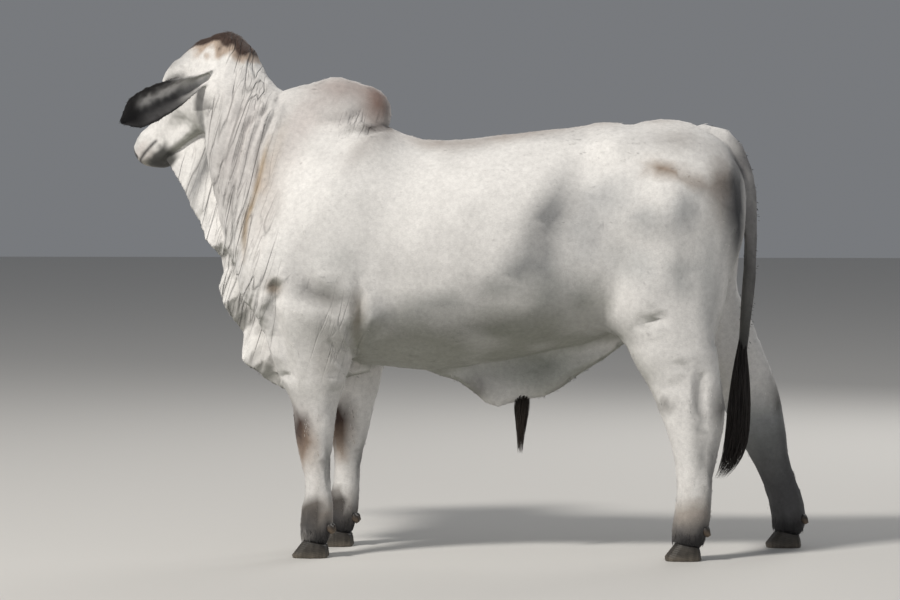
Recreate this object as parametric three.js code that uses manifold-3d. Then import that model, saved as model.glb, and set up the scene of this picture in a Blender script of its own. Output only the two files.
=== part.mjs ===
// A young Brahman bull as a still, life-size figure, standing square with its head turned away to its right.
// Millimetres, +Z up. The bull faces -X, its left side is -Y, and its hooves stand on z = 0.
import * as THREE from "three";
import { mergeVertices } from "three/addons/utils/BufferGeometryUtils.js";
import Module from "manifold-3d";

const wasm = await Module();
wasm.setup();

// Driving sizes
const gap = 0.3; // clearance between touching nodes
const bodyCell = [57, 49, 54]; // sampling steps of the trunk and neck
const humpCell = [36, 27, 32];
const legCell = [28, 24, 52];
const headCell = [25, 21, 21];
const foreCut = 552; // height where a foreleg leaves the chest
const hindCut = 652; // height where a hind leg leaves the thigh
const hindFront = 520; // the hind legs lie behind this x
const rumpCut = 560; // x of the cut between barrel and rump
const throatLevel = -165; // the head ends this far below its own axis
const eyeRadius = 19;

// Colours seen in the photo
const coatColor = 0xd9d4cc;
const coatShade = 0xb9b4ad;
const darkHair = 0x2b2725;
const hoofColor = 0x3a3532;
const eyeColor = 0x15100d;

const vec = (x, y, z) => new THREE.Vector3(x, y, z);
const lerp = THREE.MathUtils.lerp;
const clamp = THREE.MathUtils.clamp;

// Flesh is a field: less than zero inside. A muscle is two balls and the cone between them, squashed across.
// Each end is [x, y, z, radius, width share].
function muscle(from, to) {
  const [ax, ay, az, ra, wa = 1] = from;
  const [bx, by, bz, rb, wb = 1] = to;
  const d = [bx - ax, by - ay, bz - az];
  const lengthSquared = d[0] * d[0] + d[1] * d[1] + d[2] * d[2] || 1;
  return (x, y, z) => {
    const along = ((x - ax) * d[0] + (y - ay) * d[1] + (z - az) * d[2]) / lengthSquared;
    const t = clamp(along, 0, 1);
    const wide = wa + t * (wb - wa);
    const qx = x - ax - t * d[0];
    const qy = (y - ay - t * d[1]) / wide;
    const qz = z - az - t * d[2];
    return (Math.sqrt(qx * qx + qy * qy + qz * qz) - ra - t * (rb - ra)) * Math.min(1, wide);
  };
}

// A run of muscles through a list of stations. blend is how softly the run joins what is there already.
function chain(stations, blend) {
  const muscles = stations.slice(1).map((station, i) => muscle(stations[i], station));
  return { distance: (x, y, z) => Math.min(...muscles.map((distance) => distance(x, y, z))), blend };
}

// The same stations on the other side of the body.
const mirrored = (stations) => stations.map(([x, y, z, ...rest]) => [x, -y, z, ...rest]);

const bothSides = (stations, blend) => [chain(stations, blend), chain(mirrored(stations), blend)];

function blended(parts) {
  return (x, y, z) => {
    let value = 1e6;
    for (const { distance, blend } of parts) {
      const other = distance(x, y, z);
      const share = clamp(0.5 + (0.5 * (value - other)) / blend, 0, 1);
      value = value + share * (other - value) - blend * share * (1 - share);
    }
    return value;
  };
}

// Trunk, from the chest to the pin bones
const trunk = chain(
  [
    [-385, 0, 935, 255, 0.78],
    [-220, 0, 930, 348, 0.73],
    [-60, 0, 916, 350, 0.79],
    [155, 0, 945, 346, 0.84],
    [341, 0, 977, 336, 0.82],
    [500, 0, 1015, 318, 0.76],
    [660, 0, 1090, 255, 0.86],
    [742, 0, 1172, 150, 1.1],
  ],
  90,
);
const withers = chain(
  [
    [-470, 8, 1150, 225, 0.62],
    [-330, 0, 1125, 220, 0.66],
    [-150, 0, 1095, 150, 0.8],
  ],
  90,
);
const neckFlesh = chain(
  [
    [-470, 6, 1080, 240, 0.62],
    [-590, 26, 1262, 166, 0.7],
    [-662, 52, 1395, 124, 0.78],
    [-680, 74, 1470, 98, 0.86],
  ],
  80,
);
const shoulders = [
  ...bothSides(
    [
      [-262, -118, 1215, 88, 0.75],
      [-420, -170, 1010, 128, 0.7],
      [-520, -178, 872, 118, 0.72],
    ],
    70,
  ),
  ...bothSides(
    [
      [-300, -165, 1010, 165, 0.6],
      [-335, -188, 800, 132, 0.6],
    ],
    70,
  ),
];
const nearUpperArm = chain(
  [
    [-500, -178, 860, 120, 0.7],
    [-430, -184, 760, 140, 0.64],
    [-428, -178, 667, 124, 0.64],
    [-410, -171, 586, 101, 0.68],
  ],
  60,
);
const farUpperArm = chain(
  [
    [-480, 178, 860, 120, 0.7],
    [-360, 184, 760, 140, 0.64],
    [-338, 178, 667, 122, 0.64],
    [-320, 171, 586, 98, 0.68],
  ],
  60,
);
const haunches = [
  ...bothSides(
    [
      [560, -128, 1180, 105, 0.9],
      [690, -128, 1100, 168, 0.82],
      [768, -108, 1010, 118, 0.8],
    ],
    70,
  ),
  ...bothSides(
    [
      [772, -104, 1120, 118, 0.85],
      [765, -118, 930, 104, 0.8],
      [742, -140, 790, 88, 0.75],
    ],
    50,
  ),
];
const nearThigh = chain(
  [
    [640, -140, 1000, 205, 0.66],
    [652, -160, 790, 168, 0.64],
    [687, -178, 657, 122, 0.66],
  ],
  60,
);
const farThigh = chain(
  [
    [660, 140, 1000, 205, 0.66],
    [730, 160, 790, 165, 0.64],
    [825, 178, 657, 122, 0.66],
  ],
  60,
);

// Lower legs, hoof to elbow or stifle
const nearForeLeg = [
  [-410, -171, 586, 101, 0.68],
  [-405, -165, 514, 80, 0.74],
  [-406, -162, 455, 67, 0.78],
  [-407, -160, 392, 60, 0.84],
  [-408, -160, 347, 57, 0.92],
  [-404, -160, 301, 46, 0.92],
  [-399, -160, 255, 40, 0.86],
  [-394, -160, 180, 42, 0.8],
  [-399, -160, 138, 51, 0.92],
  [-402, -160, 96, 49, 1.02],
  [-410, -160, 60, 50, 1.05],
];
const farForeLeg = [
  [-320, 171, 586, 98, 0.68],
  [-310, 165, 514, 78, 0.74],
  [-312, 162, 455, 66, 0.78],
  [-322, 160, 392, 60, 0.84],
  [-328, 160, 347, 57, 0.92],
  [-330, 160, 301, 46, 0.92],
  [-332, 160, 255, 40, 0.86],
  [-337, 160, 180, 42, 0.8],
  [-347, 160, 138, 51, 0.92],
  [-351, 160, 96, 49, 1.02],
  [-359, 160, 60, 50, 1.05],
];
const nearHindLeg = [
  [687, -178, 657, 122, 0.66],
  [718, -183, 545, 98, 0.62],
  [732, -186, 470, 84, 0.64],
  [748, -188, 405, 78, 0.66],
  [754, -188, 316, 62, 0.66],
  [755, -188, 250, 54, 0.64],
  [754, -188, 190, 53, 0.66],
  [748, -188, 132, 56, 0.84],
  [741, -188, 92, 54, 0.94],
  [732, -188, 58, 54, 0.98],
];
const nearHock = chain(
  [
    [778, -182, 640, 36, 1],
    [812, -187, 505, 27, 0.9],
    [818, -188, 452, 29, 0.9],
    [792, -188, 330, 30, 0.8],
  ],
  24,
);
const farHindLeg = [
  [825, 178, 657, 122, 0.66],
  [888, 185, 555, 97, 0.62],
  [925, 189, 478, 84, 0.64],
  [954, 192, 405, 76, 0.66],
  [984, 194, 317, 60, 0.66],
  [1008, 196, 258, 53, 0.64],
  [1030, 198, 200, 51, 0.66],
  [1050, 200, 142, 55, 0.84],
  [1056, 200, 96, 54, 0.94],
  [1054, 200, 58, 54, 0.98],
];
const farHock = chain(
  [
    [915, 182, 648, 36, 1],
    [982, 188, 520, 27, 0.9],
    [995, 190, 468, 29, 0.9],
    [1018, 194, 330, 28, 0.8],
  ],
  24,
);

// Head, in its own frame: x runs from the poll to the muzzle, y to the bull's left, z out of the forehead
const headYaw = THREE.MathUtils.degToRad(34);
const headPitch = THREE.MathUtils.degToRad(41);
const headRoll = THREE.MathUtils.degToRad(6); // its left side is carried a little higher
const headPlace = vec(-674, 76, 1549);
const forward = vec(-Math.cos(headYaw), Math.sin(headYaw), 0)
  .multiplyScalar(Math.cos(headPitch))
  .setZ(-Math.sin(headPitch));
const toLeft = vec(-Math.sin(headYaw), -Math.cos(headYaw), 0).applyAxisAngle(forward, headRoll);
const dorsal = forward.clone().cross(toLeft);
const headFrame = new THREE.Matrix4().makeBasis(forward, toLeft, dorsal).setPosition(headPlace);
const headInverse = headFrame.clone().invert();

const skull = [
  // braincase, face and muzzle
  chain(
    [
      [34, 0, 8, 74, 1.02],
      [120, 0, 14, 86, 1.04],
      [200, 0, 8, 84, 1],
      [300, 0, -8, 68, 0.94],
      [390, 0, -12, 58, 1.04],
      [444, 0, -8, 58, 1.16],
    ],
    26,
  ),
  // poll and the broad convex forehead
  chain(
    [
      [0, 0, 30, 38, 1.45],
      [75, 0, 66, 48, 1.55],
      [140, 0, 72, 50, 1.7],
      [200, 0, 60, 46, 1.8],
    ],
    24,
  ),
  // bridge of the nose
  chain(
    [
      [190, 0, 60, 42, 1],
      [300, 0, 32, 38, 1.1],
      [432, 0, 14, 36, 1.2],
    ],
    22,
  ),
  // cheeks
  ...bothSides(
    [
      [118, 54, -52, 58, 0.72],
      [205, 50, -44, 50, 0.72],
    ],
    30,
  ),
  // lower jaw
  ...bothSides(
    [
      [98, 50, -76, 36, 0.8],
      [132, 46, -104, 30, 0.8],
      [250, 36, -90, 26, 0.85],
      [420, 24, -58, 23, 1],
    ],
    22,
  ),
  // brows
  ...bothSides(
    [
      [166, 80, 60, 36, 0.9],
      [206, 82, 56, 33, 0.9],
    ],
    16,
  ),
  // cheek ridge below the eye
  ...bothSides(
    [
      [200, 66, 2, 26, 0.8],
      [290, 46, -6, 22, 0.8],
    ],
    20,
  ),
  // nostril wings
  ...bothSides(
    [
      [430, 34, 8, 36, 0.95],
      [464, 34, 2, 31, 1],
    ],
    16,
  ),
  // upper lip
  ...bothSides(
    [
      [412, 32, -22, 30, 1],
      [464, 26, -20, 30, 1.1],
    ],
    16,
  ),
  // chin
  chain(
    [
      [406, 0, -56, 25, 1.5],
      [444, 0, -55, 25, 1.55],
    ],
    12,
  ),
];
const skullField = blended(skull);
const e = headInverse.elements;
const headInBody = {
  distance: (x, y, z) =>
    skullField(
      e[0] * x + e[4] * y + e[8] * z + e[12],
      e[1] * x + e[5] * y + e[9] * z + e[13],
      e[2] * x + e[6] * y + e[10] * z + e[14],
    ),
  blend: 55,
};

const shared = 3; // stations of a lower leg that also shape the body above it
const legBlend = 26;
const bodyField = blended([
  trunk,
  withers,
  neckFlesh,
  ...shoulders,
  nearUpperArm,
  farUpperArm,
  ...haunches,
  nearThigh,
  farThigh,
  ...[nearForeLeg, farForeLeg, nearHindLeg, farHindLeg].map((leg) => chain(leg.slice(0, shared), legBlend)),
  headInBody,
]);
const legField = blended([
  nearUpperArm,
  farUpperArm,
  nearThigh,
  farThigh,
  ...[nearForeLeg, farForeLeg, nearHindLeg, farHindLeg].map((leg) => chain(leg, legBlend)),
  nearHock,
  farHock,
]);
const h = headFrame.elements;
const headField = (x, y, z) =>
  bodyField(
    h[0] * x + h[4] * y + h[8] * z + h[12],
    h[1] * x + h[5] * y + h[9] * z + h[13],
    h[2] * x + h[6] * y + h[10] * z + h[14],
  );
const humpField = blended([
  chain(
    [
      [-445, 0, 1322, 118, 0.66],
      [-350, 0, 1345, 128, 0.66],
      [-268, 0, 1362, 88, 0.68],
      [-236, 0, 1346, 46, 0.8],
    ],
    40,
  ),
  chain(
    [
      [-490, 0, 1330, 86, 0.6],
      [-360, 0, 1300, 110, 0.9],
    ],
    40,
  ),
]);

// Sampling places along one axis, evenly spaced so that the last one reaches the end.
function places(from, to, step) {
  const count = Math.ceil((to - from) / step);
  return Array.from({ length: count + 1 }, (_, i) => lerp(from, to, i / count));
}

// The closed surface where a field is zero, with a vertex in each sampled cell for each sheet that crosses it.
function surfaceOf(field, low, high, cell) {
  const [xs, ys, zs] = [0, 1, 2].map((k) => places(low[k], high[k], cell[k]));
  const size = [xs.length, ys.length, zs.length];
  const at = (i, j, k) => (k * size[1] + j) * size[0] + i;
  const values = new Float32Array(size[0] * size[1] * size[2]);
  const onBorder = (i, j, k) =>
    i === 0 || j === 0 || k === 0 || i === size[0] - 1 || j === size[1] - 1 || k === size[2] - 1;
  for (let k = 0; k < size[2]; k++) {
    for (let j = 0; j < size[1]; j++) {
      for (let i = 0; i < size[0]; i++) {
        const value = field(xs[i], ys[j], zs[k]);
        values[at(i, j, k)] = onBorder(i, j, k) ? Math.max(value, 1) : value;
      }
    }
  }
  const corners = [0, 1, 2, 3, 4, 5, 6, 7].map((n) => [n & 1, (n >> 1) & 1, n >> 2]);
  const points = [];
  const pointOfEdge = new Map(); // cell to the point that stands for each of its 12 edges
  for (let k = 0; k < size[2] - 1; k++) {
    for (let j = 0; j < size[1] - 1; j++) {
      for (let i = 0; i < size[0] - 1; i++) {
        const value = corners.map(([a, b, c]) => values[at(i + a, j + b, k + c)]);
        const inside = value.map((v) => v < 0);
        if (inside.every((v) => v === inside[0])) continue;
        const groups = sheetsOfCell(inside);
        const owners = new Array(12).fill(-1);
        for (const group of groups) {
          const sum = [0, 0, 0];
          for (const n of group) {
            const [m, o] = cellEdges[n];
            const t = value[m] / (value[m] - value[o]);
            const a = corners[m];
            const b = corners[o];
            sum[0] += lerp(xs[i + a[0]], xs[i + b[0]], t);
            sum[1] += lerp(ys[j + a[1]], ys[j + b[1]], t);
            sum[2] += lerp(zs[k + a[2]], zs[k + b[2]], t);
            owners[n] = points.length;
          }
          const mean = sum.map((total) => total / group.length);
          const inner = 0.04;
          const bounds = [
            [lerp(xs[i], xs[i + 1], inner), lerp(xs[i], xs[i + 1], 1 - inner)],
            [lerp(ys[j], ys[j + 1], inner), lerp(ys[j], ys[j + 1], 1 - inner)],
            [lerp(zs[k], zs[k + 1], inner), lerp(zs[k], zs[k + 1], 1 - inner)],
          ];
          const keep = groups.length > 1 || onBorder(i, j, k) || onBorder(i + 1, j + 1, k + 1);
          points.push(keep ? mean : settled(field, mean, bounds));
        }
        pointOfEdge.set(at(i, j, k), owners);
      }
    }
  }
  const faces = [];
  const quad = (corner, turned) => {
    const [p, q, r, s] = turned ? [corner[0], corner[3], corner[2], corner[1]] : corner;
    const across = (m, n) => Math.hypot(...points[m].map((v, axis) => v - points[n][axis]));
    if (across(p, r) < across(q, s)) faces.push([p, q, r], [p, r, s]);
    else faces.push([q, r, s], [q, s, p]);
  };
  for (let k = 0; k < size[2] - 1; k++) {
    for (let j = 0; j < size[1] - 1; j++) {
      for (let i = 0; i < size[0] - 1; i++) {
        const here = values[at(i, j, k)] < 0;
        for (let axis = 0; axis < 3; axis++) {
          const next = [i, j, k];
          next[axis] += 1;
          if (here === values[at(...next)] < 0) continue;
          const u = (axis + 1) % 3;
          const v = (axis + 2) % 3;
          const around = [
            [1, 1],
            [0, 1],
            [0, 0],
            [1, 0],
          ].map(([du, dv]) => {
            const cellPlace = [i, j, k];
            cellPlace[u] -= du;
            cellPlace[v] -= dv;
            const low = [0, 0, 0];
            low[u] = du;
            low[v] = dv;
            return pointOfEdge.get(at(...cellPlace))[edgeNumber(low, axis)];
          });
          quad(around, !here);
        }
      }
    }
  }
  return solidFrom(points.flat(), faces.flat());
}

// Pulls a point of a cell onto the surface along the field's slope.
function settled(field, start, bounds) {
  const p = [...start];
  const step = 1;
  for (let round = 0; round < 3; round++) {
    const [x, y, z] = p;
    const value = field(x, y, z);
    const slope = [
      (field(x + step, y, z) - field(x - step, y, z)) / (2 * step),
      (field(x, y + step, z) - field(x, y - step, z)) / (2 * step),
      (field(x, y, z + step) - field(x, y, z - step)) / (2 * step),
    ];
    const steepness = slope[0] ** 2 + slope[1] ** 2 + slope[2] ** 2 || 1;
    for (let axis = 0; axis < 3; axis++) {
      const moved = p[axis] - (slope[axis] * value) / steepness;
      p[axis] = clamp(moved, bounds[axis][0], bounds[axis][1]);
    }
  }
  return p;
}

// A cell's corner n lies at its bits: 1 is x, 2 is y, 4 is z. Four edges run along each axis.
const cellEdges = [0, 1, 2].flatMap((axis) =>
  [0, 1, 2, 3, 4, 5, 6, 7].filter((n) => !(n & (1 << axis))).map((n) => [n, n | (1 << axis)]),
);

function edgeNumber(low, axis) {
  const corner = low[0] + 2 * low[1] + 4 * low[2];
  return cellEdges.findIndex(([m, n]) => m === corner && n === (corner | (1 << axis)));
}

// Groups a cell's crossed edges into the separate sheets of surface that pass through it.
function sheetsOfCell(inside) {
  const crossed = cellEdges.map(([m, n]) => inside[m] !== inside[n]);
  const parent = cellEdges.map((_, n) => n);
  const root = (n) => (parent[n] === n ? n : root(parent[n]));
  for (let axis = 0; axis < 3; axis++) {
    for (const side of [0, 1]) {
      const onFace = (corner) => ((corner >> axis) & 1) === side;
      const edges = cellEdges
        .map((ends, n) => ({ ends, n }))
        .filter(({ ends, n }) => crossed[n] && ends.every(onFace));
      if (edges.length === 2) parent[root(edges[0].n)] = root(edges[1].n);
      if (edges.length !== 4) continue;
      for (const corner of [0, 1, 2, 3, 4, 5, 6, 7].filter((c) => onFace(c) && inside[c])) {
        const [a, b] = edges.filter(({ ends }) => ends.includes(corner));
        parent[root(a.n)] = root(b.n);
      }
    }
  }
  const groups = new Map();
  cellEdges.forEach((_, n) => {
    if (crossed[n]) groups.set(root(n), [...(groups.get(root(n)) || []), n]);
  });
  return [...groups.values()];
}

function solidFrom(positions, indices) {
  return new wasm.Manifold(
    new wasm.Mesh({
      numProp: 3,
      vertProperties: new Float32Array(positions),
      triVerts: new Uint32Array(indices),
    }),
  );
}

// The solid with its points carried through a matrix.
function moved(solid, matrix) {
  const mesh = solid.getMesh();
  const attribute = new THREE.BufferAttribute(mesh.vertProperties, 3).applyMatrix4(matrix);
  return solidFrom(attribute.array, mesh.triVerts);
}

// A three.js geometry as a solid, placed by a matrix.
function solidOf(geometry, matrix = new THREE.Matrix4()) {
  const bare = geometry.clone();
  bare.deleteAttribute("normal");
  bare.deleteAttribute("uv");
  const merged = mergeVertices(bare.applyMatrix4(matrix), 1e-3);
  return solidFrom(merged.attributes.position.array, merged.index.array);
}

// Everything on one side of a plane: the side that the normal points to.
function halfSpace(point, normal) {
  const reach = 6000;
  const turn = new THREE.Quaternion().setFromUnitVectors(vec(0, 0, 1), normal.clone().normalize());
  const middle = point.clone().addScaledVector(normal.clone().normalize(), reach / 2);
  const matrix = new THREE.Matrix4().compose(middle, turn, vec(1, 1, 1));
  return solidOf(new THREE.BoxGeometry(reach, reach, reach), matrix);
}

// The solid with each vertex moved out along its normal by the clearance, to cut its neighbours with.
function grown(solid, by = 1.2 * gap) {
  const mesh = solid.getMesh();
  const geometry = new THREE.BufferGeometry();
  geometry.setAttribute("position", new THREE.BufferAttribute(mesh.vertProperties, 3));
  geometry.setIndex(new THREE.BufferAttribute(mesh.triVerts, 1));
  geometry.computeVertexNormals();
  const normals = geometry.attributes.normal.array;
  return solidFrom(
    mesh.vertProperties.map((v, n) => v + by * normals[n]),
    mesh.triVerts,
  );
}

function largest(solid) {
  return solid.decompose().reduce((best, s) => (s.volume() > best.volume() ? s : best));
}

const joined = (solids) => solids.reduce((all, s) => all.add(s));

// A closed skin through rings of equal length, with each end capped from its middle.
function loft(rings) {
  const sides = rings[0].length;
  const points = rings.flat();
  const faces = [];
  for (let i = 0; i + 1 < rings.length; i++) {
    for (let j = 0; j < sides; j++) {
      const a = i * sides + j;
      const b = i * sides + ((j + 1) % sides);
      faces.push(a, b, b + sides, a, b + sides, a + sides);
    }
  }
  for (const end of [0, rings.length - 1]) {
    const ring = rings[end];
    const middle = ring.reduce((sum, p) => sum.add(p), vec(0, 0, 0)).divideScalar(sides);
    points.push(middle);
    for (let j = 0; j < sides; j++) {
      const a = end * sides + j;
      const b = end * sides + ((j + 1) % sides);
      faces.push(...(end === 0 ? [points.length - 1, b, a] : [points.length - 1, a, b]));
    }
  }
  const made = solidFrom(points.flatMap((p) => [p.x, p.y, p.z]), faces);
  if (made.volume() > 0) return made;
  const turned = [];
  for (let i = 0; i < faces.length; i += 3) turned.push(faces[i], faces[i + 2], faces[i + 1]);
  return solidFrom(points.flatMap((p) => [p.x, p.y, p.z]), turned);
}

// A tapered tube or flat lock along a curve. Its section is an oval whose flat side faces along `facing`.
function sweep(points, halfWidths, halfThicknesses, sides, facing, steps) {
  const curve = new THREE.CatmullRomCurve3(points);
  const pick = (list, t) => {
    const place = t * (list.length - 1);
    const i = Math.min(Math.floor(place), list.length - 2);
    return lerp(list[i], list[i + 1], place - i);
  };
  const rings = [];
  for (let n = 0; n <= steps; n++) {
    const t = n / steps;
    const centre = curve.getPoint(t);
    const ahead = curve.getTangent(t);
    const side = facing.clone().cross(ahead).normalize();
    const face = ahead.clone().cross(side).normalize();
    const ring = [];
    for (let j = 0; j < sides; j++) {
      const angle = (2 * Math.PI * j) / sides;
      ring.push(
        centre
          .clone()
          .addScaledVector(side, Math.cos(angle) * pick(halfWidths, t))
          .addScaledVector(face, Math.sin(angle) * pick(halfThicknesses, t)),
      );
    }
    rings.push(ring);
  }
  return loft(rings);
}

// A small seeded generator for the natural spread of locks.
function seeded(seed) {
  let state = seed;
  return () => {
    state = (state * 1664525 + 1013904223) % 4294967296;
    return state / 4294967296;
  };
}

const nodes = new THREE.Group();

function addNode(name, solid, color, roughness = 0.8, matrix = null) {
  const mesh = solid.getMesh();
  const geometry = new THREE.BufferGeometry();
  geometry.setAttribute("position", new THREE.BufferAttribute(mesh.vertProperties, 3));
  geometry.setIndex(new THREE.BufferAttribute(mesh.triVerts, 1));
  geometry.computeVertexNormals();
  const material = new THREE.MeshStandardMaterial({ color, roughness, metalness: 0 });
  const node = new THREE.Mesh(geometry, material);
  node.name = name;
  if (matrix) node.applyMatrix4(matrix);
  nodes.add(node);
}

// Trunk and neck, parted by thin cuts
const bodyLow = [-1010, -420, 500];
const bodyHigh = [1010, 470, 1690];
const body = surfaceOf(bodyField, bodyLow, bodyHigh, bodyCell);
const bodyGrown = grown(body);
const neckRoot = vec(-560, 0, 1150);
const neckAhead = vec(-0.971, 0, 0.238);
const napePoint = vec(15, 0, -30).applyMatrix4(headFrame);
const napeAhead = forward.clone().multiplyScalar(0.89).addScaledVector(dorsal, 0.456);
const shifted = (point, normal, by) => point.clone().addScaledVector(normal, by);
const aboveFore = halfSpace(vec(0, 0, foreCut), vec(0, 0, 1));
const hindBox = new THREE.Matrix4().makeTranslation(hindFront + 500, 0, hindCut - 500);
const hindRoom = solidOf(new THREE.BoxGeometry(1000, 1200, 1000), hindBox);
const legless = body.intersect(aboveFore).subtract(hindRoom);
const behindNeck = halfSpace(neckRoot, neckAhead.clone().negate());
const ahead = halfSpace(shifted(neckRoot, neckAhead, gap), neckAhead);
const skullBox = (spare) => new THREE.BoxGeometry(700 + 2 * spare, 460 + 2 * spare, 400 + 2 * spare);
const skullMiddle = new THREE.Matrix4().makeTranslation(250, 0, throatLevel + 200);
const headSide = halfSpace(napePoint, napeAhead).intersect(
  solidOf(skullBox(gap), headFrame.clone().multiply(skullMiddle)),
);
const barrelSide = halfSpace(vec(rumpCut, 0, 0), vec(-1, 0, 0));
const rumpSide = halfSpace(vec(rumpCut + gap, 0, 0), vec(1, 0, 0));
const torso = largest(legless.intersect(behindNeck).intersect(barrelSide));
const rump = largest(legless.intersect(rumpSide));
const neck = largest(body.intersect(ahead).subtract(headSide));

// The hump sits on the withers, its back lobe hanging a little over the back
const humpWhole = surfaceOf(humpField, [-640, -190, 1090], [-100, 190, 1530], humpCell);
const hump = largest(humpWhole.subtract(bodyGrown));
addNode("hump", hump, coatShade);
addNode("torso", torso, coatColor);
addNode("rump", rump, coatColor);
addNode("neck", neck, coatColor);

// Head, sampled in its own frame
const headWhole = surfaceOf(headField, [-75, -170, -190], [560, 170, 170], headCell);
const napeNormal = vec(0.89, 0, 0.456);
const headRoom = halfSpace(vec(15, 0, -30).addScaledVector(napeNormal, gap), napeNormal);
const head = largest(headWhole.intersect(headRoom).intersect(solidOf(skullBox(0), skullMiddle)));

// A thin closed sheet between two grids of points, such as an ear or a fold of skin.
function sheet(front, back) {
  const rows = front.length;
  const columns = front[0].length;
  const points = [...front.flat(), ...back.flat()];
  const at = (side, i, j) => (side * rows + i) * columns + j;
  const faces = [];
  const patch = (a, b, c, d) => faces.push(a, b, c, a, c, d);
  for (let i = 0; i + 1 < rows; i++) {
    for (let j = 0; j + 1 < columns; j++) {
      patch(at(0, i, j), at(0, i + 1, j), at(0, i + 1, j + 1), at(0, i, j + 1));
      faces.push(at(1, i, j), at(1, i + 1, j + 1), at(1, i + 1, j));
      faces.push(at(1, i, j), at(1, i, j + 1), at(1, i + 1, j + 1));
    }
    patch(at(0, i, 0), at(1, i, 0), at(1, i + 1, 0), at(0, i + 1, 0));
    const last = columns - 1;
    patch(at(0, i, last), at(0, i + 1, last), at(1, i + 1, last), at(1, i, last));
  }
  for (let j = 0; j + 1 < columns; j++) {
    patch(at(0, 0, j), at(0, 0, j + 1), at(1, 0, j + 1), at(1, 0, j));
    const last = rows - 1;
    patch(at(0, last, j), at(1, last, j), at(1, last, j + 1), at(0, last, j + 1));
  }
  const positions = points.flatMap((p) => [p.x, p.y, p.z]);
  const made = solidFrom(positions, faces);
  if (made.volume() > 0) return made;
  for (let i = 0; i < faces.length; i += 3) [faces[i + 1], faces[i + 2]] = [faces[i + 2], faces[i + 1]];
  return solidFrom(positions, faces);
}

// Where a ray from inside the field meets its surface.
function surfacePoint(field, from, direction) {
  let near = 0;
  let far = 300;
  const along = direction.clone().normalize();
  for (let round = 0; round < 30; round++) {
    const middle = (near + far) / 2;
    const p = from.clone().addScaledVector(along, middle);
    if (field(p.x, p.y, p.z) < 0) near = middle;
    else far = middle;
  }
  return from.clone().addScaledVector(along, near);
}

// Reads a smooth curve through evenly spaced values at t from 0 to 1.
function along(values, t) {
  const curve = new THREE.CatmullRomCurve3(values.map((v, i) => vec(i, v, 0)));
  return curve.getPoint(t).y;
}

// Ears: a long drooping leaf with a blunt tip, rolled to a tube at the root and open below
const earLength = 345;
const earRoot = vec(54, 86, -46);
const earAim = vec(214, 272, -48).normalize();
const earOpening = vec(-0.48, 0.52, -0.7);
const earThick = 9;
function ear() {
  const side = earAim.clone().cross(earOpening).normalize();
  const open = side.clone().cross(earAim).normalize();
  const rows = 12;
  const columns = 6;
  const grids = [[], []];
  for (let i = 0; i <= rows; i++) {
    const t = Math.sin((0.5 * Math.PI * i) / rows) ** 1.25;
    const reach = t * earLength;
    const halfWidth = along([27, 35, 48, 56, 58, 54, 22], t);
    const roll = along([2.1, 1.9, 1.4, 1, 0.8, 0.7, 0.6], t);
    const radius = halfWidth / roll;
    const droop = 30 * t * t;
    const thick = lerp(earThick, 5, t) / 2;
    const middle = earRoot
      .clone()
      .addScaledVector(earAim, reach)
      .addScaledVector(open, radius * 0.6 + droop);
    grids.forEach((grid, face) => {
      const r = radius + (face === 0 ? thick : -thick);
      const row = [];
      for (let j = 0; j <= columns; j++) {
        const angle = roll * ((2 * j) / columns - 1);
        const low = 1 + 0.12 * (j / columns) * Math.sin(Math.PI * t);
        row.push(
          middle
            .clone()
            .addScaledVector(side, r * Math.sin(angle) * low)
            .addScaledVector(open, -r * Math.cos(angle)),
        );
      }
      grid.push(row);
    });
  }
  return sheet(grids[0], grids[1]);
}

function mirroredSolid(solid) {
  const mesh = solid.getMesh();
  const positions = mesh.vertProperties.map((v, n) => (n % 3 === 1 ? -v : v));
  const faces = mesh.triVerts.slice();
  for (let i = 0; i < faces.length; i += 3) [faces[i + 1], faces[i + 2]] = [faces[i + 2], faces[i + 1]];
  return solidFrom(positions, faces);
}

// Eyes, lids, nostrils and the line of the mouth, set on the skull's own surface
const eyePlace = surfacePoint(headField, vec(192, 0, 24), vec(0.08, 1, 0.1));
const eyeCentre = eyePlace.clone().add(vec(-1, -eyeRadius * 0.62, -1));
function placed(geometry, centre, outward, size) {
  const turn = new THREE.Quaternion().setFromUnitVectors(vec(0, 0, 1), outward.clone().normalize());
  return solidOf(geometry, new THREE.Matrix4().compose(centre, turn, size));
}
const eyeBall = placed(new THREE.SphereGeometry(eyeRadius, 10, 7), eyeCentre, vec(0, 1, 0), vec(1, 1, 1));
const eyeSocket = placed(
  new THREE.SphereGeometry(eyeRadius + gap, 10, 7),
  eyeCentre,
  vec(0, 1, 0),
  vec(1, 1, 1),
);
const lids = placed(
  new THREE.TorusGeometry(eyeRadius * 0.98, 6.5, 5, 14),
  eyeCentre.clone().add(vec(1, 8, 1)),
  vec(0.1, 1, 0.14),
  vec(1.12, 0.86, 1),
);
const nostrilPlace = surfacePoint(headField, vec(444, 20, 6), vec(0.8, 0.55, 0.3));
const nostril = placed(
  new THREE.SphereGeometry(12, 10, 7),
  nostrilPlace,
  vec(0.85, 0.5, 0.1),
  vec(1.25, 0.62, 1.3),
);
const lipLevel = -30;
const lipPath = [];
for (let degrees = -90; degrees <= 90; degrees += 22.5) {
  const angle = THREE.MathUtils.degToRad(degrees);
  const from = vec(440, 0, lipLevel + 4 * Math.cos(angle));
  lipPath.push(surfacePoint(headField, from, vec(Math.cos(angle), Math.sin(angle), 0)));
}
for (const side of [-1, 1]) {
  const corner = surfacePoint(headField, vec(384, 0, lipLevel + 3), vec(0, side, 0));
  const cheek = surfacePoint(headField, vec(412, 0, lipLevel - 1), vec(0, side, 0));
  if (side < 0) lipPath.unshift(corner, cheek);
  else lipPath.push(cheek, corner);
}
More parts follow.
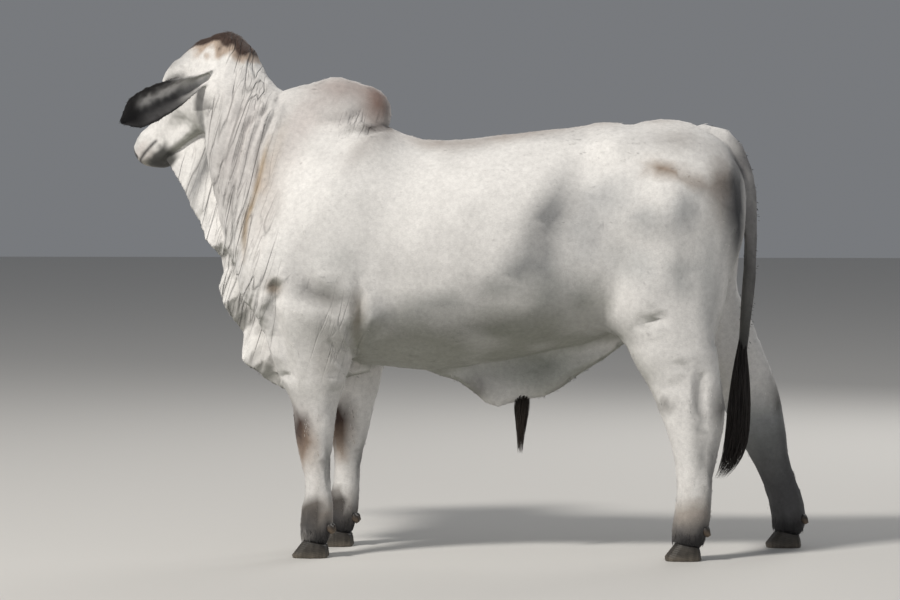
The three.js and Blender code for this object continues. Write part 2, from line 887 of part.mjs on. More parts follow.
const mouth = sweep(lipPath, [1, 3.5, 3.5, 3.5, 1], [1, 3.5, 3.5, 3.5, 1], 5, vec(0, 0, 1), 18);
const bothNostrils = nostril.add(mirroredSolid(nostril));
const bothSockets = eyeSocket.add(mirroredSolid(eyeSocket));
const bothLids = lids.add(mirroredSolid(lids));
const faced = largest(head.add(bothLids).subtract(bothSockets).subtract(bothNostrils).subtract(mouth));
addNode("head", faced, coatColor, 0.8, headFrame);
addNode("eye_left", eyeBall, eyeColor, 0.15, headFrame);
addNode("eye_right", mirroredSolid(eyeBall), eyeColor, 0.15, headFrame);
const headCutter = grown(head).add(grown(moved(neck, headInverse)));
const leftEar = ear();
addNode("ear_left", largest(leftEar.subtract(headCutter)), coatShade, 0.8, headFrame);
addNode("ear_right", largest(mirroredSolid(leftEar).subtract(headCutter)), coatShade, 0.8, headFrame);

// Legs, hooves and dewclaws
const toeHeight = 62;
const heelHeight = 38;
const clawLength = 112;
const clawWidth = 50;
const cleft = 3;
const feet = {
  fore_left: { low: [-600, -330, 20], high: [-220, -40, 640], cut: foreCut, toe: -476, y: -160, back: -357 },
  fore_right: { low: [-520, 40, 20], high: [-140, 330, 640], cut: foreCut, toe: -425, y: 160, back: -306 },
  hind_left: { low: [480, -340, 20], high: [960, -40, 740], cut: hindCut, toe: 664, y: -188, back: 790 },
  hind_right: { low: [600, 40, 20], high: [1180, 340, 740], cut: hindCut, toe: 984, y: 200, back: 1104 },
};
const coronetSlope = (heelHeight - toeHeight) / clawLength;
function claw(foot, outward) {
  const sides = 12;
  const rings = [0, 0.14, 0.6, 1].map((share, level) => {
    const ring = [];
    const wide = [0.97, 1, 0.96, 0.9][level];
    const toe = foot.toe + [2, 0, 20, 36][level];
    const heel = foot.toe + clawLength - [2, 0, 2, 6][level];
    for (let j = 0; j < sides; j++) {
      const angle = (2 * Math.PI * j) / sides;
      const x = lerp(toe, heel, (1 - Math.cos(angle)) / 2);
      const bulge = Math.sign(Math.sin(angle)) * Math.abs(Math.sin(angle)) ** 0.7;
      const reach = bulge > 0 ? clawWidth * 0.6 : clawWidth * 0.4;
      const across = cleft + clawWidth * 0.4 + bulge * reach * wide;
      const top = toeHeight + coronetSlope * (x - foot.toe);
      ring.push(vec(x, foot.y + outward * across, share * top));
    }
    return ring;
  });
  return loft(rings);
}
for (const [name, foot] of Object.entries(feet)) {
  const whole = surfaceOf(legField, foot.low, foot.high, legCell);
  const below = halfSpace(vec(0, 0, foot.cut - gap), vec(0, 0, -1));
  const coronet = halfSpace(vec(foot.toe, 0, toeHeight + gap), vec(-coronetSlope, 0, 1));
  const leg = largest(whole.intersect(below).intersect(coronet));
  const legCutter = grown(leg);
  addNode("leg_" + name, leg, coatColor);
  for (const [part, outward] of [
    ["outer", Math.sign(foot.y)],
    ["inner", -Math.sign(foot.y)],
  ]) {
    addNode(`hoof_${name}_${part}`, claw(foot, outward), hoofColor, 0.5);
    const place = vec(foot.back, foot.y + outward * 25, 90);
    const spur = placed(new THREE.SphereGeometry(16, 6, 4), place, vec(0.5, 0, -0.8), vec(0.85, 0.85, 1.3));
    addNode(`dewclaw_${name}_${part}`, largest(spur.subtract(legCutter)), hoofColor, 0.6);
  }
}

// Tail and switch
const tailPath = [
  vec(740, 0, 1275),
  vec(815, 0, 1288),
  vec(878, 0, 1238),
  vec(914, 0, 1140),
  vec(926, -2, 1040),
  vec(929, -4, 930),
  vec(921, -6, 800),
  vec(909, -8, 680),
  vec(903, -8, 600),
];
const tailHalf = [46, 44, 36, 29, 24, 21, 19, 17, 13];
const tailWhole = sweep(tailPath, tailHalf, tailHalf, 7, vec(0, 1, 0), 12);
const tail = largest(tailWhole.subtract(bodyGrown));
addNode("tail", tail, coatShade);

// A flat tapered lock of hair through the given points.
function lock(points, halfWidth, facing) {
  const widths = [0.55, 1, 1, 0.85, 0.55, 0.08].map((share) => share * halfWidth);
  const thick = [0.5, 0.42, 0.4, 0.36, 0.28, 0.08].map((share) => share * halfWidth);
  return sweep(points, widths, thick, 4, facing, 4);
}
const switchLine = new THREE.CatmullRomCurve3([
  vec(905, -8, 650),
  vec(900, -8, 560),
  vec(894, -8, 450),
  vec(886, -8, 350),
  vec(866, -8, 285),
  vec(836, -8, 238),
]);
const switchBulge = [14, 22, 32, 34, 26, 12];
const randomLock = seeded(7);
const switchLocks = [];
const lockCount = 9;
for (let n = 0; n < lockCount; n++) {
  const angle = (2 * Math.PI * (n + 0.5 * randomLock())) / lockCount;
  const start = 0.02 + 0.2 * randomLock();
  const end = 0.82 + 0.18 * randomLock();
  const spread = 0.75 + 0.35 * randomLock();
  const out = vec(Math.cos(angle), Math.sin(angle), 0);
  const points = [];
  for (let i = 0; i <= 5; i++) {
    const t = lerp(start, end, i / 5);
    const bulge = i === 0 ? 6 : along(switchBulge, t) * spread;
    points.push(switchLine.getPoint(t).addScaledVector(out, bulge));
  }
  switchLocks.push(lock(points, 14 + 4 * randomLock(), out));
}
const switchCore = sweep(
  [0, 0.25, 0.5, 0.7, 0.85].map((t) => switchLine.getPoint(t)),
  [16, 20, 22, 18, 4],
  [16, 20, 22, 18, 4],
  8,
  vec(0, 1, 0),
  7,
);
const tailSwitch = joined([switchCore, ...switchLocks]).subtract(grown(tail));
addNode("tail_switch", largest(tailSwitch), darkHair);

// Folds of loose skin under the throat, brisket and belly
const onHead = (f, l, u) => vec(f, l, u).applyMatrix4(headFrame);
const dewlapEdge = [
  vec(-924, 212, 1240),
  vec(-905, 190, 1213),
  vec(-885, 168, 1183),
  vec(-862, 140, 1152),
  vec(-830, 105, 1103),
  vec(-809, 80, 1057),
  vec(-792, 60, 1022),
  vec(-766, 34, 978),
  vec(-730, 14, 940),
  vec(-716, 4, 880),
  vec(-706, 0, 810),
  vec(-684, 0, 735),
  vec(-652, 0, 668),
  vec(-642, 0, 604),
  vec(-604, 0, 558),
  vec(-558, 0, 522),
  vec(-490, 0, 502),
  vec(-420, 0, 512),
  vec(-340, 0, 536),
  vec(-250, 0, 560),
];
const dewlapRoot = [
  onHead(420, 0, -45),
  onHead(345, 0, -50),
  onHead(270, 0, -58),
  onHead(200, 0, -70),
  vec(-735, 100, 1260),
  vec(-705, 70, 1190),
  vec(-665, 40, 1120),
  vec(-620, 14, 1060),
  vec(-575, 4, 1000),
  vec(-545, 0, 935),
  vec(-510, 0, 870),
  vec(-480, 0, 810),
  vec(-460, 0, 760),
  vec(-430, 0, 710),
  vec(-410, 0, 680),
  vec(-380, 0, 650),
  vec(-350, 0, 630),
  vec(-300, 0, 620),
  vec(-230, 0, 620),
];
const pleatDepth = 30;
const pleats = 6.5;
function dewlapSheet() {
  const edge = new THREE.CatmullRomCurve3(dewlapEdge);
  const root = new THREE.CatmullRomCurve3(dewlapRoot);
  const rows = 29;
  const columns = 5;
  const grids = [[], []];
  for (let i = 0; i <= rows; i++) {
    const t = i / rows;
    const low = edge.getPoint(t);
    const high = root.getPoint(t);
    const strength = THREE.MathUtils.smoothstep(t, 0.1, 0.5) * Math.sin(Math.PI * t) ** 0.7;
    grids.forEach((grid, face) => {
      const row = [];
      for (let j = 0; j <= columns; j++) {
        const s = j / columns;
        const p = high.clone().lerp(low, s);
        const wave = Math.sin(2 * Math.PI * pleats * t + 1.2 * s);
        const half = along([34, 22, 15, 13, 13, 12, 3], s);
        p.y += wave * pleatDepth * strength * s * s + (face === 0 ? half : -half);
        p.x += 10 * Math.cos(2 * Math.PI * pleats * t) * strength * s * s;
        row.push(p);
      }
      grid.push(row);
    });
  }
  return sheet(grids[0], grids[1]);
}
const dewlap = largest(dewlapSheet().subtract(bodyGrown).subtract(grown(moved(head, headFrame))));
addNode("dewlap", dewlap, coatColor);

const sheathEdge = [
  [-90, 572],
  [-31, 550],
  [25, 533],
  [68, 502],
  [112, 464],
  [150, 452],
  [185, 464],
  [225, 474],
  [291, 484],
  [343, 510],
  [403, 556],
  [490, 611],
  [560, 668],
];
function sheathSheet() {
  const edge = new THREE.CatmullRomCurve3(sheathEdge.map(([x, z]) => vec(x, 0, z)));
  const rows = 12;
  const columns = 5;
  const grids = [[], []];
  for (let i = 0; i <= rows; i++) {
    const low = edge.getPoint(i / rows);
    const high = vec(low.x, 0, 690);
    grids.forEach((grid, face) => {
      const row = [];
      for (let j = 0; j <= columns; j++) {
        const s = 1 - (1 - j / columns) ** 1.5;
        const p = high.clone().lerp(low, s);
        const half = along([60, 38, 27, 26, 29, 24, 4], j / columns);
        p.y += face === 0 ? half : -half;
        row.push(p);
      }
      grid.push(row);
    });
  }
  return sheet(grids[0], grids[1]);
}
const sheath = largest(sheathSheet().subtract(bodyGrown));
addNode("sheath", sheath, coatShade);

const randomTuft = seeded(11);
const tuftLocks = [];
const tuftCount = 4;
for (let n = 0; n < tuftCount; n++) {
  const angle = (2 * Math.PI * n) / tuftCount;
  const out = vec(Math.cos(angle), 0.8 * Math.sin(angle), 0);
  const root = vec(224, 0, 486).addScaledVector(out, 13);
  const drop = 110 + 60 * randomTuft();
  const points = [0, 0.3, 0.6, 1].map((t) =>
    root
      .clone()
      .addScaledVector(out, 10 * Math.sin(Math.PI * t) - 8 * t)
      .add(vec(-4 * t, 0, -drop * t)),
  );
  tuftLocks.push(lock(points, 10, out));
}
const tuftCore = sweep(
  [vec(224, 0, 492), vec(223, 0, 450), vec(221, 0, 400), vec(220, 0, 312)],
  [20, 17, 9, 1],
  [16, 14, 8, 1],
  7,
  vec(0, 1, 0),
  5,
);
const tuft = largest(joined([tuftCore, ...tuftLocks]).subtract(grown(sheath)));
addNode("sheath_tuft", tuft, darkHair);

const scrotumField = blended([
  chain(
    [
      [690, 0, 800, 34, 1],
      [698, 0, 705, 42, 1],
    ],
    30,
  ),
  ...bothSides(
    [
      [700, -28, 700, 34, 1],
      [704, -30, 625, 42, 1],
    ],
    22,
  ),
]);
const scrotum = surfaceOf(scrotumField, [620, -100, 560], [780, 100, 860], [33, 29, 38]);
addNode("scrotum", largest(scrotum.subtract(bodyGrown)), coatShade);

const whole = new THREE.Box3().setFromObject(nodes, true);
const centre = whole.getCenter(new THREE.Vector3());
nodes.position.set(-centre.x, -centre.y, 0);

export default nodes;
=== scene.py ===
import bpy
import bmesh
import math
import numpy as np
from mathutils import Matrix, Vector
from mathutils.kdtree import KDTree


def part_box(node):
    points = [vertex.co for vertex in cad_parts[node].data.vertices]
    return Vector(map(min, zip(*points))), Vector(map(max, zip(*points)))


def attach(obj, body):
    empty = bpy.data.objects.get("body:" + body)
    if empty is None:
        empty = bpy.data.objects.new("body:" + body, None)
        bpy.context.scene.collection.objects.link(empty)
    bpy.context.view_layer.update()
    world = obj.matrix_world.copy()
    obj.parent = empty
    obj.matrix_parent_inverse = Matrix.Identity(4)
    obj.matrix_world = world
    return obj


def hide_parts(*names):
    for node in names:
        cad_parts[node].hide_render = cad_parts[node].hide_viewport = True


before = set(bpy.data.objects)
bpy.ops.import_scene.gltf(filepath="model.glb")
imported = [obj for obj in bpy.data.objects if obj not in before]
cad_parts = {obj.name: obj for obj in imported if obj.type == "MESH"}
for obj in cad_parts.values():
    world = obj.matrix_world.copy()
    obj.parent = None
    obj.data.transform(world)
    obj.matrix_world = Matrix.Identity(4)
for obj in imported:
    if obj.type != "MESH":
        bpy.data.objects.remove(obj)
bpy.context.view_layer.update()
print("frame loaded")

# The bull is described in the same millimetres as its photo was measured in: x from head to tail, y to its
# right, z up, with the origin under the withers. Two hooves say where that origin lies in the frame.
foreToe = Vector((-476, -160, 0))
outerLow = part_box("hoof_fore_left_outer")[0]
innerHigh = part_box("hoof_fore_left_inner")[1]
origin = Vector((outerLow.x * 1000 - foreToe.x, (outerLow.y + innerHigh.y) * 500 - foreToe.y, 0)) / 1000


def designPlace(points):
    return (points - np.array(origin)) * 1000


def framePlace(place):
    return np.array(origin) + np.asarray(place, dtype=float) / 1000


def meshFrom(bm, label):
    mesh = bpy.data.meshes.new(label)
    bm.to_mesh(mesh)
    bm.free()
    return mesh


def newMaterial(label, values):
    material = bpy.data.materials.new(label)
    material.use_nodes = True
    for name, value in values.items():
        material.node_tree.nodes["Principled BSDF"].inputs[name].default_value = value
    return material


# Camera at the photo's place: level with the top of the ribs, a little behind square on
cameraSet = dict(distance=11.0, height=1.25, turn=3.0, drop=2.43, lens=142.1)


def makeCamera():
    data = bpy.data.cameras.new("camera")
    camera = bpy.data.objects.new("camera", data)
    bpy.context.scene.collection.objects.link(camera)
    turn = math.radians(cameraSet["turn"])
    away = Vector((math.sin(turn), -math.cos(turn), 0)) * cameraSet["distance"]
    camera.location = origin + away + Vector((0, 0, cameraSet["height"]))
    camera.rotation_euler = (math.radians(90 - cameraSet["drop"]), 0, turn)
    data.lens = cameraSet["lens"]
    data.sensor_width = 36
    data.clip_end = 100
    bpy.context.scene.camera = camera


makeCamera()
print("camera placed")

# Stage: a pale floor and soft studio light, brightest from the upper left in front as in the photo
stageSet = dict(floor=(0.62, 0.61, 0.59), floorSize=30, world=(0.78, 0.81, 0.86), worldPower=0.24,
                aim=(0, 0, 0.8))
lamps = [
    dict(name="key", at=(-6.4, -7.2, 10.6), size=1.9, power=1650, colour=(1.0, 0.96, 0.9)),
    dict(name="front", at=(1.5, -7.0, 2.6), size=4.0, power=30, colour=(0.93, 0.96, 1.0)),
    dict(name="back", at=(2.5, 5.0, 4.0), size=3.5, power=120, colour=(1.0, 0.98, 0.95)),
]


def makeStage():
    bm = bmesh.new()
    bmesh.ops.create_grid(bm, x_segments=1, y_segments=1, size=stageSet["floorSize"])
    floor = bpy.data.objects.new("floor", meshFrom(bm, "floor"))
    bpy.context.scene.collection.objects.link(floor)
    material = newMaterial("floor", {"Base Color": (*stageSet["floor"], 1), "Roughness": 0.9})
    floor.data.materials.append(material)
    world = bpy.data.worlds.new("studio")
    bpy.context.scene.world = world
    world.use_nodes = True
    background = world.node_tree.nodes["Background"]
    background.inputs["Color"].default_value = (*stageSet["world"], 1)
    background.inputs["Strength"].default_value = stageSet["worldPower"]
    for lamp in lamps:
        light = bpy.data.lights.new(lamp["name"], "AREA")
        light.size = lamp["size"]
        light.energy = lamp["power"]
        light.color = lamp["colour"]
        holder = bpy.data.objects.new(lamp["name"], light)
        holder.location = lamp["at"]
        aim = Vector(stageSet["aim"]) - holder.location
        holder.rotation_euler = aim.to_track_quat("-Z", "Y").to_euler()
        bpy.context.scene.collection.objects.link(holder)


makeStage()
bpy.context.scene.view_settings.view_transform = "Standard"  # the default one flattens the white coat
print("stage lit")


# Steps: from 0 to 1 between two values, back from 1 to 0, and a peak of 1 round a value
def smoothStep(values, low, high):
    t = np.clip((values - low) / (high - low), 0, 1)
    return t * t * (3 - 2 * t)


def stepDown(values, low, high):
    return 1 - smoothStep(values, low, high)


def peak(values, middle, width):
    return np.exp(-((values - middle) / width) ** 2)


def blended(first, second, share):
    return np.asarray(first) * (1 - share) + np.asarray(second) * share


# Places: how a point of the hide shows in the photo, and where it lies on the head and on an ear
photoSet = dict(distance=11000, level=1250, turn=(0.9986, 0.0523))  # cosine and sine of the camera's turn


def seenPlace(place):
    # x and z as the photo shows them, both sides read as the near one
    aside = -np.abs(place[:, 1])
    scale = photoSet["distance"] / (photoSet["distance"] + aside)
    across = (place[:, 0] * photoSet["turn"][0] + photoSet["turn"][1] * aside) * scale
    return np.stack([across, photoSet["level"] + (place[:, 2] - photoSet["level"]) * scale], axis=1)


def outwardOf(place, normals):
    # how far a normal looks away from the middle plane
    return -normals[:, 1] * np.where(place[:, 1] < 0, 1, -1)


headSet = dict(place=(-674, 76, 1549), yaw=34, pitch=41, roll=6)


def headAxes():
    yaw = math.radians(headSet["yaw"])
    pitch = math.radians(headSet["pitch"])
    ahead = Vector((-math.cos(yaw) * math.cos(pitch), math.sin(yaw) * math.cos(pitch), -math.sin(pitch)))
    level = Vector((-math.sin(yaw), -math.cos(yaw), 0))
    left = Matrix.Rotation(math.radians(headSet["roll"]), 3, ahead) @ level
    return np.array([ahead, left, ahead.cross(left)])


headTurn = headAxes()


def headPlace(place):
    return (place - np.array(headSet["place"])) @ headTurn.T


earSet = dict(root=(54, 86, -46), aim=(214, 272, -48), opening=(-0.48, 0.52, -0.7), length=345, half=56)


def earAxes():
    # along the ear, across it, and out of its hollow
    aim = Vector(earSet["aim"]).normalized()
    side = aim.cross(Vector(earSet["opening"])).normalized()
    return np.array([aim, side, side.cross(aim).normalized()])


earTurn = earAxes()


def earSide(head):
    return np.where(head[:, 1] < 0, -1, 1)


def earPlace(head):
    # along the ear from 0 to 1, across it from -1 to 1, and out of its hollow in mm
    mirror = np.stack([head[:, 0], np.abs(head[:, 1]), head[:, 2]], axis=1) - np.array(earSet["root"])
    return mirror @ earTurn.T / np.array([earSet["length"], earSet["half"], 1])


def nearEar(ear):
    return (np.abs(ear[:, 1]) < 1.6) & (np.abs(ear[:, 2]) < 90)


def fromSkull(head):
    # distance from the line that runs along the skull
    return np.linalg.norm(head[:, 1:] - np.array([0, -20]), axis=1)


def hollowSide(head, normals):
    # how far a normal looks out of the ear's hollow
    turned = normals @ headTurn.T
    turned[:, 1] *= earSide(head)
    return turned @ earTurn[2]


# Seeded unevenness: smooth noise on a lattice, between -1 and 1
def unevenness(points, step, seed):
    table = np.random.RandomState(seed).rand(32, 32, 32) * 2 - 1
    scaled = points / np.asarray(step, dtype=float)
    corner = np.floor(scaled).astype(np.int64)
    part = scaled - corner
    part = part * part * (3 - 2 * part)
    total = np.zeros(len(points))
    for number in range(8):
        bit = np.array([number & 1, number >> 1 & 1, number >> 2 & 1])
        share = np.prod(np.where(bit, part, 1 - part), axis=1)
        cell = (corner + bit) % 32
        total += table[cell[:, 0], cell[:, 1], cell[:, 2]] * share
    return total


def roundedPath(path, steps=5):
    # a smooth line through the listed points
    points = np.array(path, dtype=float)
    ends = np.concatenate([[2 * points[0] - points[1]], points, [2 * points[-1] - points[-2]]])
    line = []
    for number in range(len(points) - 1):
        a, b, c, d = ends[number:number + 4]
        for t in np.linspace(0, 1, steps, endpoint=False):
            line.append(0.5 * (2 * b + (c - a) * t + (2 * a - 5 * b + 4 * c - d) * t ** 2
                               + (3 * b - a - 3 * c + d) * t ** 3))
    line.append(points[-1])
    return np.array(line)


def distanceTo(line, spots):
    # distance in the side view to a line, and how far along it from 0 to 1
    best = np.full(len(spots), 1e9)
    share = np.zeros(len(spots))
    for number in range(len(line) - 1):
        a, b = line[number], line[number + 1]
        t = np.clip(((spots - a) @ (b - a)) / max((b - a) @ (b - a), 1e-9), 0, 1)
        gap = np.linalg.norm(spots - a - t[:, None] * (b - a), axis=1)
        nearer = gap < best
        best = np.where(nearer, gap, best)
        share = np.where(nearer, (number + t) / (len(line) - 1), share)
    return best, share


def ovalGap(spots, middle, reach, degrees):
    # squared distance from the middle of a listed oval, 1 at its edge
    turn = math.radians(degrees)
    away = spots - np.array(middle)
    along = (away[:, 0] * math.cos(turn) + away[:, 1] * math.sin(turn)) / reach[0]
    across = (away[:, 1] * math.cos(turn) - away[:, 0] * math.sin(turn)) / reach[1]
    return along ** 2 + across ** 2


# Relief of the hide, in the photo's side view: creases sink, with a roll on each side, and mounds rise.
# A crease has its path, half width and depth, a mound its middle, reach, turn in degrees and rise, all in mm
creases = [
    # long folds of the neck
    ([(-512, 1425), (-540, 1376), (-558, 1327), (-589, 1258), (-592, 1203), (-598, 1128), (-620, 1066),
      (-639, 1017), (-644, 967), (-644, 880)], 8, 9),
    ([(-524, 1420), (-558, 1376), (-626, 1327), (-648, 1252), (-667, 1178), (-679, 1116), (-682, 1054),
      (-676, 992), (-672, 918)], 8, 8),
    ([(-589, 1401), (-620, 1345), (-639, 1283), (-657, 1215), (-664, 1150)], 7, 5),
    ([(-549, 1414), (-577, 1358), (-608, 1277), (-639, 1178), (-655, 1100)], 7, 5),
    ([(-657, 1463), (-688, 1389), (-700, 1320)], 8, 3),
    ([(-620, 1432), (-682, 1320), (-704, 1240), (-712, 1160)], 8, 3.5),
    ([(-700, 1200), (-716, 1110), (-712, 1020), (-700, 960)], 8, 4),
    # under the hump's back lobe, and the wrinkles that run up into it
    ([(-268, 1300), (-245, 1308), (-215, 1314), (-180, 1316)], 8, 14),
    ([(-344, 1320), (-316, 1345), (-279, 1361)], 7, 6),
    ([(-280, 1308), (-250, 1324), (-205, 1330)], 6, 5),
    ([(-409, 1320), (-366, 1332), (-330, 1352)], 9, 5),
    # hollow above the elbow, fold behind the arm, edge of the arm against the brisket
    ([(-462, 826), (-421, 800), (-370, 776)], 24, 15),
    ([(-281, 850), (-277, 760), (-290, 690), (-300, 610), (-303, 560)], 15, 12),
    ([(-530, 815), (-545, 760), (-533, 690), (-508, 596), (-484, 515)], 15, 10),
    ([(-560, 835), (-530, 812)], 20, 9),
    # wrinkles behind the elbow
    ([(-378, 655), (-345, 620), (-312, 560)], 7, 6),
    ([(-348, 670), (-322, 622), (-306, 572)], 6, 6),
    ([(-372, 620), (-345, 590), (-318, 556)], 6, 5),
    ([(-329, 720), (-312, 660), (-300, 600)], 6, 5),
    # bands across the forearm and the gaskin
    ([(-385, 500), (-350, 492), (-322, 505)], 7, 3),
    ([(-392, 470), (-358, 462), (-326, 470)], 7, 3),
    ([(-400, 436), (-362, 430), (-330, 440)], 7, 3),
    ([(690, 640), (735, 632), (770, 640)], 9, 3.5),
    ([(672, 588), (705, 580), (750, 590)], 9, 3.5),
    ([(655, 520), (690, 512), (725, 518)], 9, 3),
    # thigh: the line between its muscles, the crease over the stifle, and the hollow before the hamstring
    ([(740, 1180), (770, 1060), (765, 930), (735, 820)], 38, 6),
    ([(575, 708), (620, 716), (668, 733)], 13, 8),
    ([(776, 560), (770, 500), (764, 410)], 12, 9),
    # flank: the fold that runs up from the stifle
    ([(455, 700), (500, 760), (520, 850), (505, 950)], 34, 7),
    # beside the tail head
    ([(796, 1310), (825, 1293), (850, 1277)], 9, 7),
    ([(872, 1222), (893, 1140), (900, 1040)], 12, 5),
    # belly and sheath
    ([(-180, 640), (0, 622), (150, 610), (290, 640), (420, 700)], 26, 5),
    ([(40, 560), (70, 520), (95, 490)], 9, 4),
    # tendons of the cannon bones
    ([(-382, 385), (-372, 300), (-378, 190)], 9, 5),
    ([(782, 372), (778, 280), (768, 180)], 9, 3),
]
mounds = [
    ((-575, 930), (62, 82), 0, 14),
    ((-430, 1010), (42, 190), -32, 9),
    ((-380, 905), (90, 58), 20, 9),
    ((-475, 720), (52, 90), 8, 8),
    ((-345, 715), (40, 56), 10, 8),
    ((-236, 735), (40, 46), 0, 12),
    ((-200, 1000), (90, 150), 0, -6),
    ((495, 1262), (46, 32), 15, 13),
    ((400, 1190), (80, 62), 0, -10),
    ((600, 1190), (90, 46), 20, -7),
    ((690, 1075), (70, 60), 0, 9),
    ((600, 800), (64, 60), 0, 11),
    ((850, 1180), (34, 40), 0, 9),
    ((645, 470), (36, 60), 0, 6),
    ((800, 470), (20, 60), 0, 5),
    ((-452, 395), (26, 44), 0, 6),
]


def reliefAt(place, normals):
    spots = seenPlace(place)
    head = headPlace(place)
    outer = smoothStep(outwardOf(place, normals), 0.0, 0.45)
    rise = np.zeros(len(place))
    for path, width, depth in creases:
        line = roundedPath(path)
        margin = width * 5
        low, high = line.min(axis=0) - margin, line.max(axis=0) + margin
        picked = np.nonzero(np.all((spots > low) & (spots < high), axis=1) & (outer > 0))[0]
        gap, share = distanceTo(line, spots[picked])
        ends = smoothStep(share, 0, 0.16) * stepDown(share, 0.84, 1)
        wide = gap / width
        shape = 0.4 * peak(wide, 2.4, 1.1) - np.exp(-wide ** 2)
        rise[picked] += depth * shape * (0.25 + 0.75 * ends) * outer[picked]
    for middle, reach, turn, lift in mounds:
        rise += lift * np.exp(-ovalGap(spots, middle, reach, turn)) * outer
    # loose skin of the neck and dewlap hangs in fine upright pleats
    neck = smoothStep(-spots[:, 0], 520, 600) * smoothStep(spots[:, 1], 480, 560)
    neck *= 1 - smoothStep(head[:, 0], -20, 60) * smoothStep(head[:, 2], -150, -110)
    slanted = np.stack([spots[:, 0] - 0.3 * (spots[:, 1] - 1000), place[:, 1], spots[:, 1]], axis=1)
    low = stepDown(spots[:, 1], 900, 1150)
    rise += neck * (2.2 + 3 * low) * unevenness(slanted, (22, 60, 260), 5)
    rise += neck * (1 + 1.2 * low) * unevenness(slanted, (9, 40, 130), 6)
    rise += 1.6 * unevenness(place, 75, 7) * smoothStep(place[:, 2], 500, 700)
    return rise + 0.5 * unevenness(place, 19, 8)


# Markings and painted shade: colours in linear light, each laid over the last, the same for the hide and the
# hair on it.
# A cloud has its middle, reach, turn, tone and share, a stain its path, half width, tone and share
coatTones = dict(base=(0.76, 0.745, 0.725), belly=(0.22, 0.225, 0.19), black=(0.014, 0.013, 0.014),
                 brown=(0.050, 0.028, 0.021), tan=(0.34, 0.235, 0.16), grey=(0.30, 0.295, 0.29),
                 slate=(0.075, 0.074, 0.077), pink=(0.50, 0.33, 0.29), dapple=(0.52, 0.51, 0.50),
                 sock=(0.24, 0.20, 0.165), farLeg=(0.13, 0.15, 0.16), toe=(0.42, 0.40, 0.38),
                 fetlock=(0.04, 0.035, 0.032), hock=(0.07, 0.065, 0.06), tail=(0.17, 0.165, 0.17),
                 tailEnd=(0.085, 0.085, 0.08), frost=(0.20, 0.195, 0.19), chin=(0.035, 0.035, 0.032),
                 earRoot=(0.22, 0.215, 0.21), earHollow=(0.035, 0.034, 0.036), earFur=(0.50, 0.49, 0.48),
                 earBack=(0.06, 0.06, 0.06))
clouds = [
    # grey of the neck and the hump, brown on its back lobe
    ((-650, 1260), (115, 230), -12, (0.50, 0.475, 0.465), 0.75),
    ((-560, 1120), (50, 200), -14, (0.50, 0.465, 0.44), 0.5),
    ((-360, 1400), (130, 80), 0, (0.42, 0.39, 0.38), 0.75),
    ((-320, 1440), (110, 32), 0, (0.30, 0.235, 0.215), 0.6),
    ((-215, 1390), (56, 74), 0, (0.17, 0.10, 0.078), 0.95),
    # painted shade in the crease under the hump's back lobe
    ((-225, 1316), (74, 13), 0, (0.045, 0.03, 0.024), 0.95),
    ((-250, 1262), (100, 38), 40, (0.40, 0.375, 0.36), 0.6),
    ((-470, 1300), (44, 90), -20, (0.52, 0.45, 0.43), 0.45),
    # painted shade in the hollow over the elbow, in the armpit and in the crease behind the arm, the last two
    # tinted brown
    ((-385, 796), (105, 40), -10, (0.20, 0.195, 0.185), 0.8),
    ((-548, 822), (26, 26), 0, (0.20, 0.16, 0.12), 0.85),
    ((-288, 690), (20, 100), 0, (0.30, 0.25, 0.18), 0.75),
    ((-345, 900), (90, 90), 0, (0.50, 0.50, 0.49), 0.45),
    ((-385, 620), (60, 120), 0, (0.40, 0.385, 0.36), 0.6),
    # flank, thigh and rump; the dark flank patch is grey mottling of the hide and painted shade together
    ((300, 1020), (62, 150), -24, (0.135, 0.14, 0.145), 0.85),
    ((250, 890), (80, 60), 0, (0.24, 0.245, 0.25), 0.75),
    ((350, 800), (100, 76), 0, (0.28, 0.29, 0.285), 0.75),
    ((430, 1010), (60, 120), -20, (0.42, 0.425, 0.43), 0.6),
    ((500, 1110), (70, 56), 20, (0.36, 0.365, 0.37), 0.55),
    ((600, 1030), (70, 44), -20, (0.36, 0.37, 0.375), 0.6),
    ((715, 860), (46, 70), 10, (0.34, 0.35, 0.35), 0.6),
    ((560, 900), (90, 60), -30, (0.44, 0.45, 0.45), 0.5),
    ((720, 1060), (48, 80), -15, (0.33, 0.34, 0.35), 0.6),
    ((800, 860), (34, 170), 0, (0.38, 0.39, 0.39), 0.55),
    ((700, 1280), (70, 34), 0, (0.38, 0.36, 0.345), 0.6),
    ((838, 1140), (38, 110), 0, (0.165, 0.135, 0.115), 0.85),
    ((884, 1060), (26, 200), 0, (0.05, 0.051, 0.056), 0.94),
    # gaskin and hock
    ((672, 462), (44, 22), 10, (0.22, 0.21, 0.20), 0.75),
    ((768, 420), (13, 56), 0, (0.15, 0.15, 0.15), 0.8),
    ((785, 310), (26, 60), 0, (0.22, 0.22, 0.22), 0.6),
    # painted shade on the lower barrel, the belly and the sheath
    ((110, 690), (400, 58), 0, (0.17, 0.175, 0.16), 0.75),
    ((220, 585), (260, 84), 0, (0.17, 0.185, 0.16), 0.8),
    ((80, 512), (40, 34), 0, (0.05, 0.045, 0.04), 0.8),
]
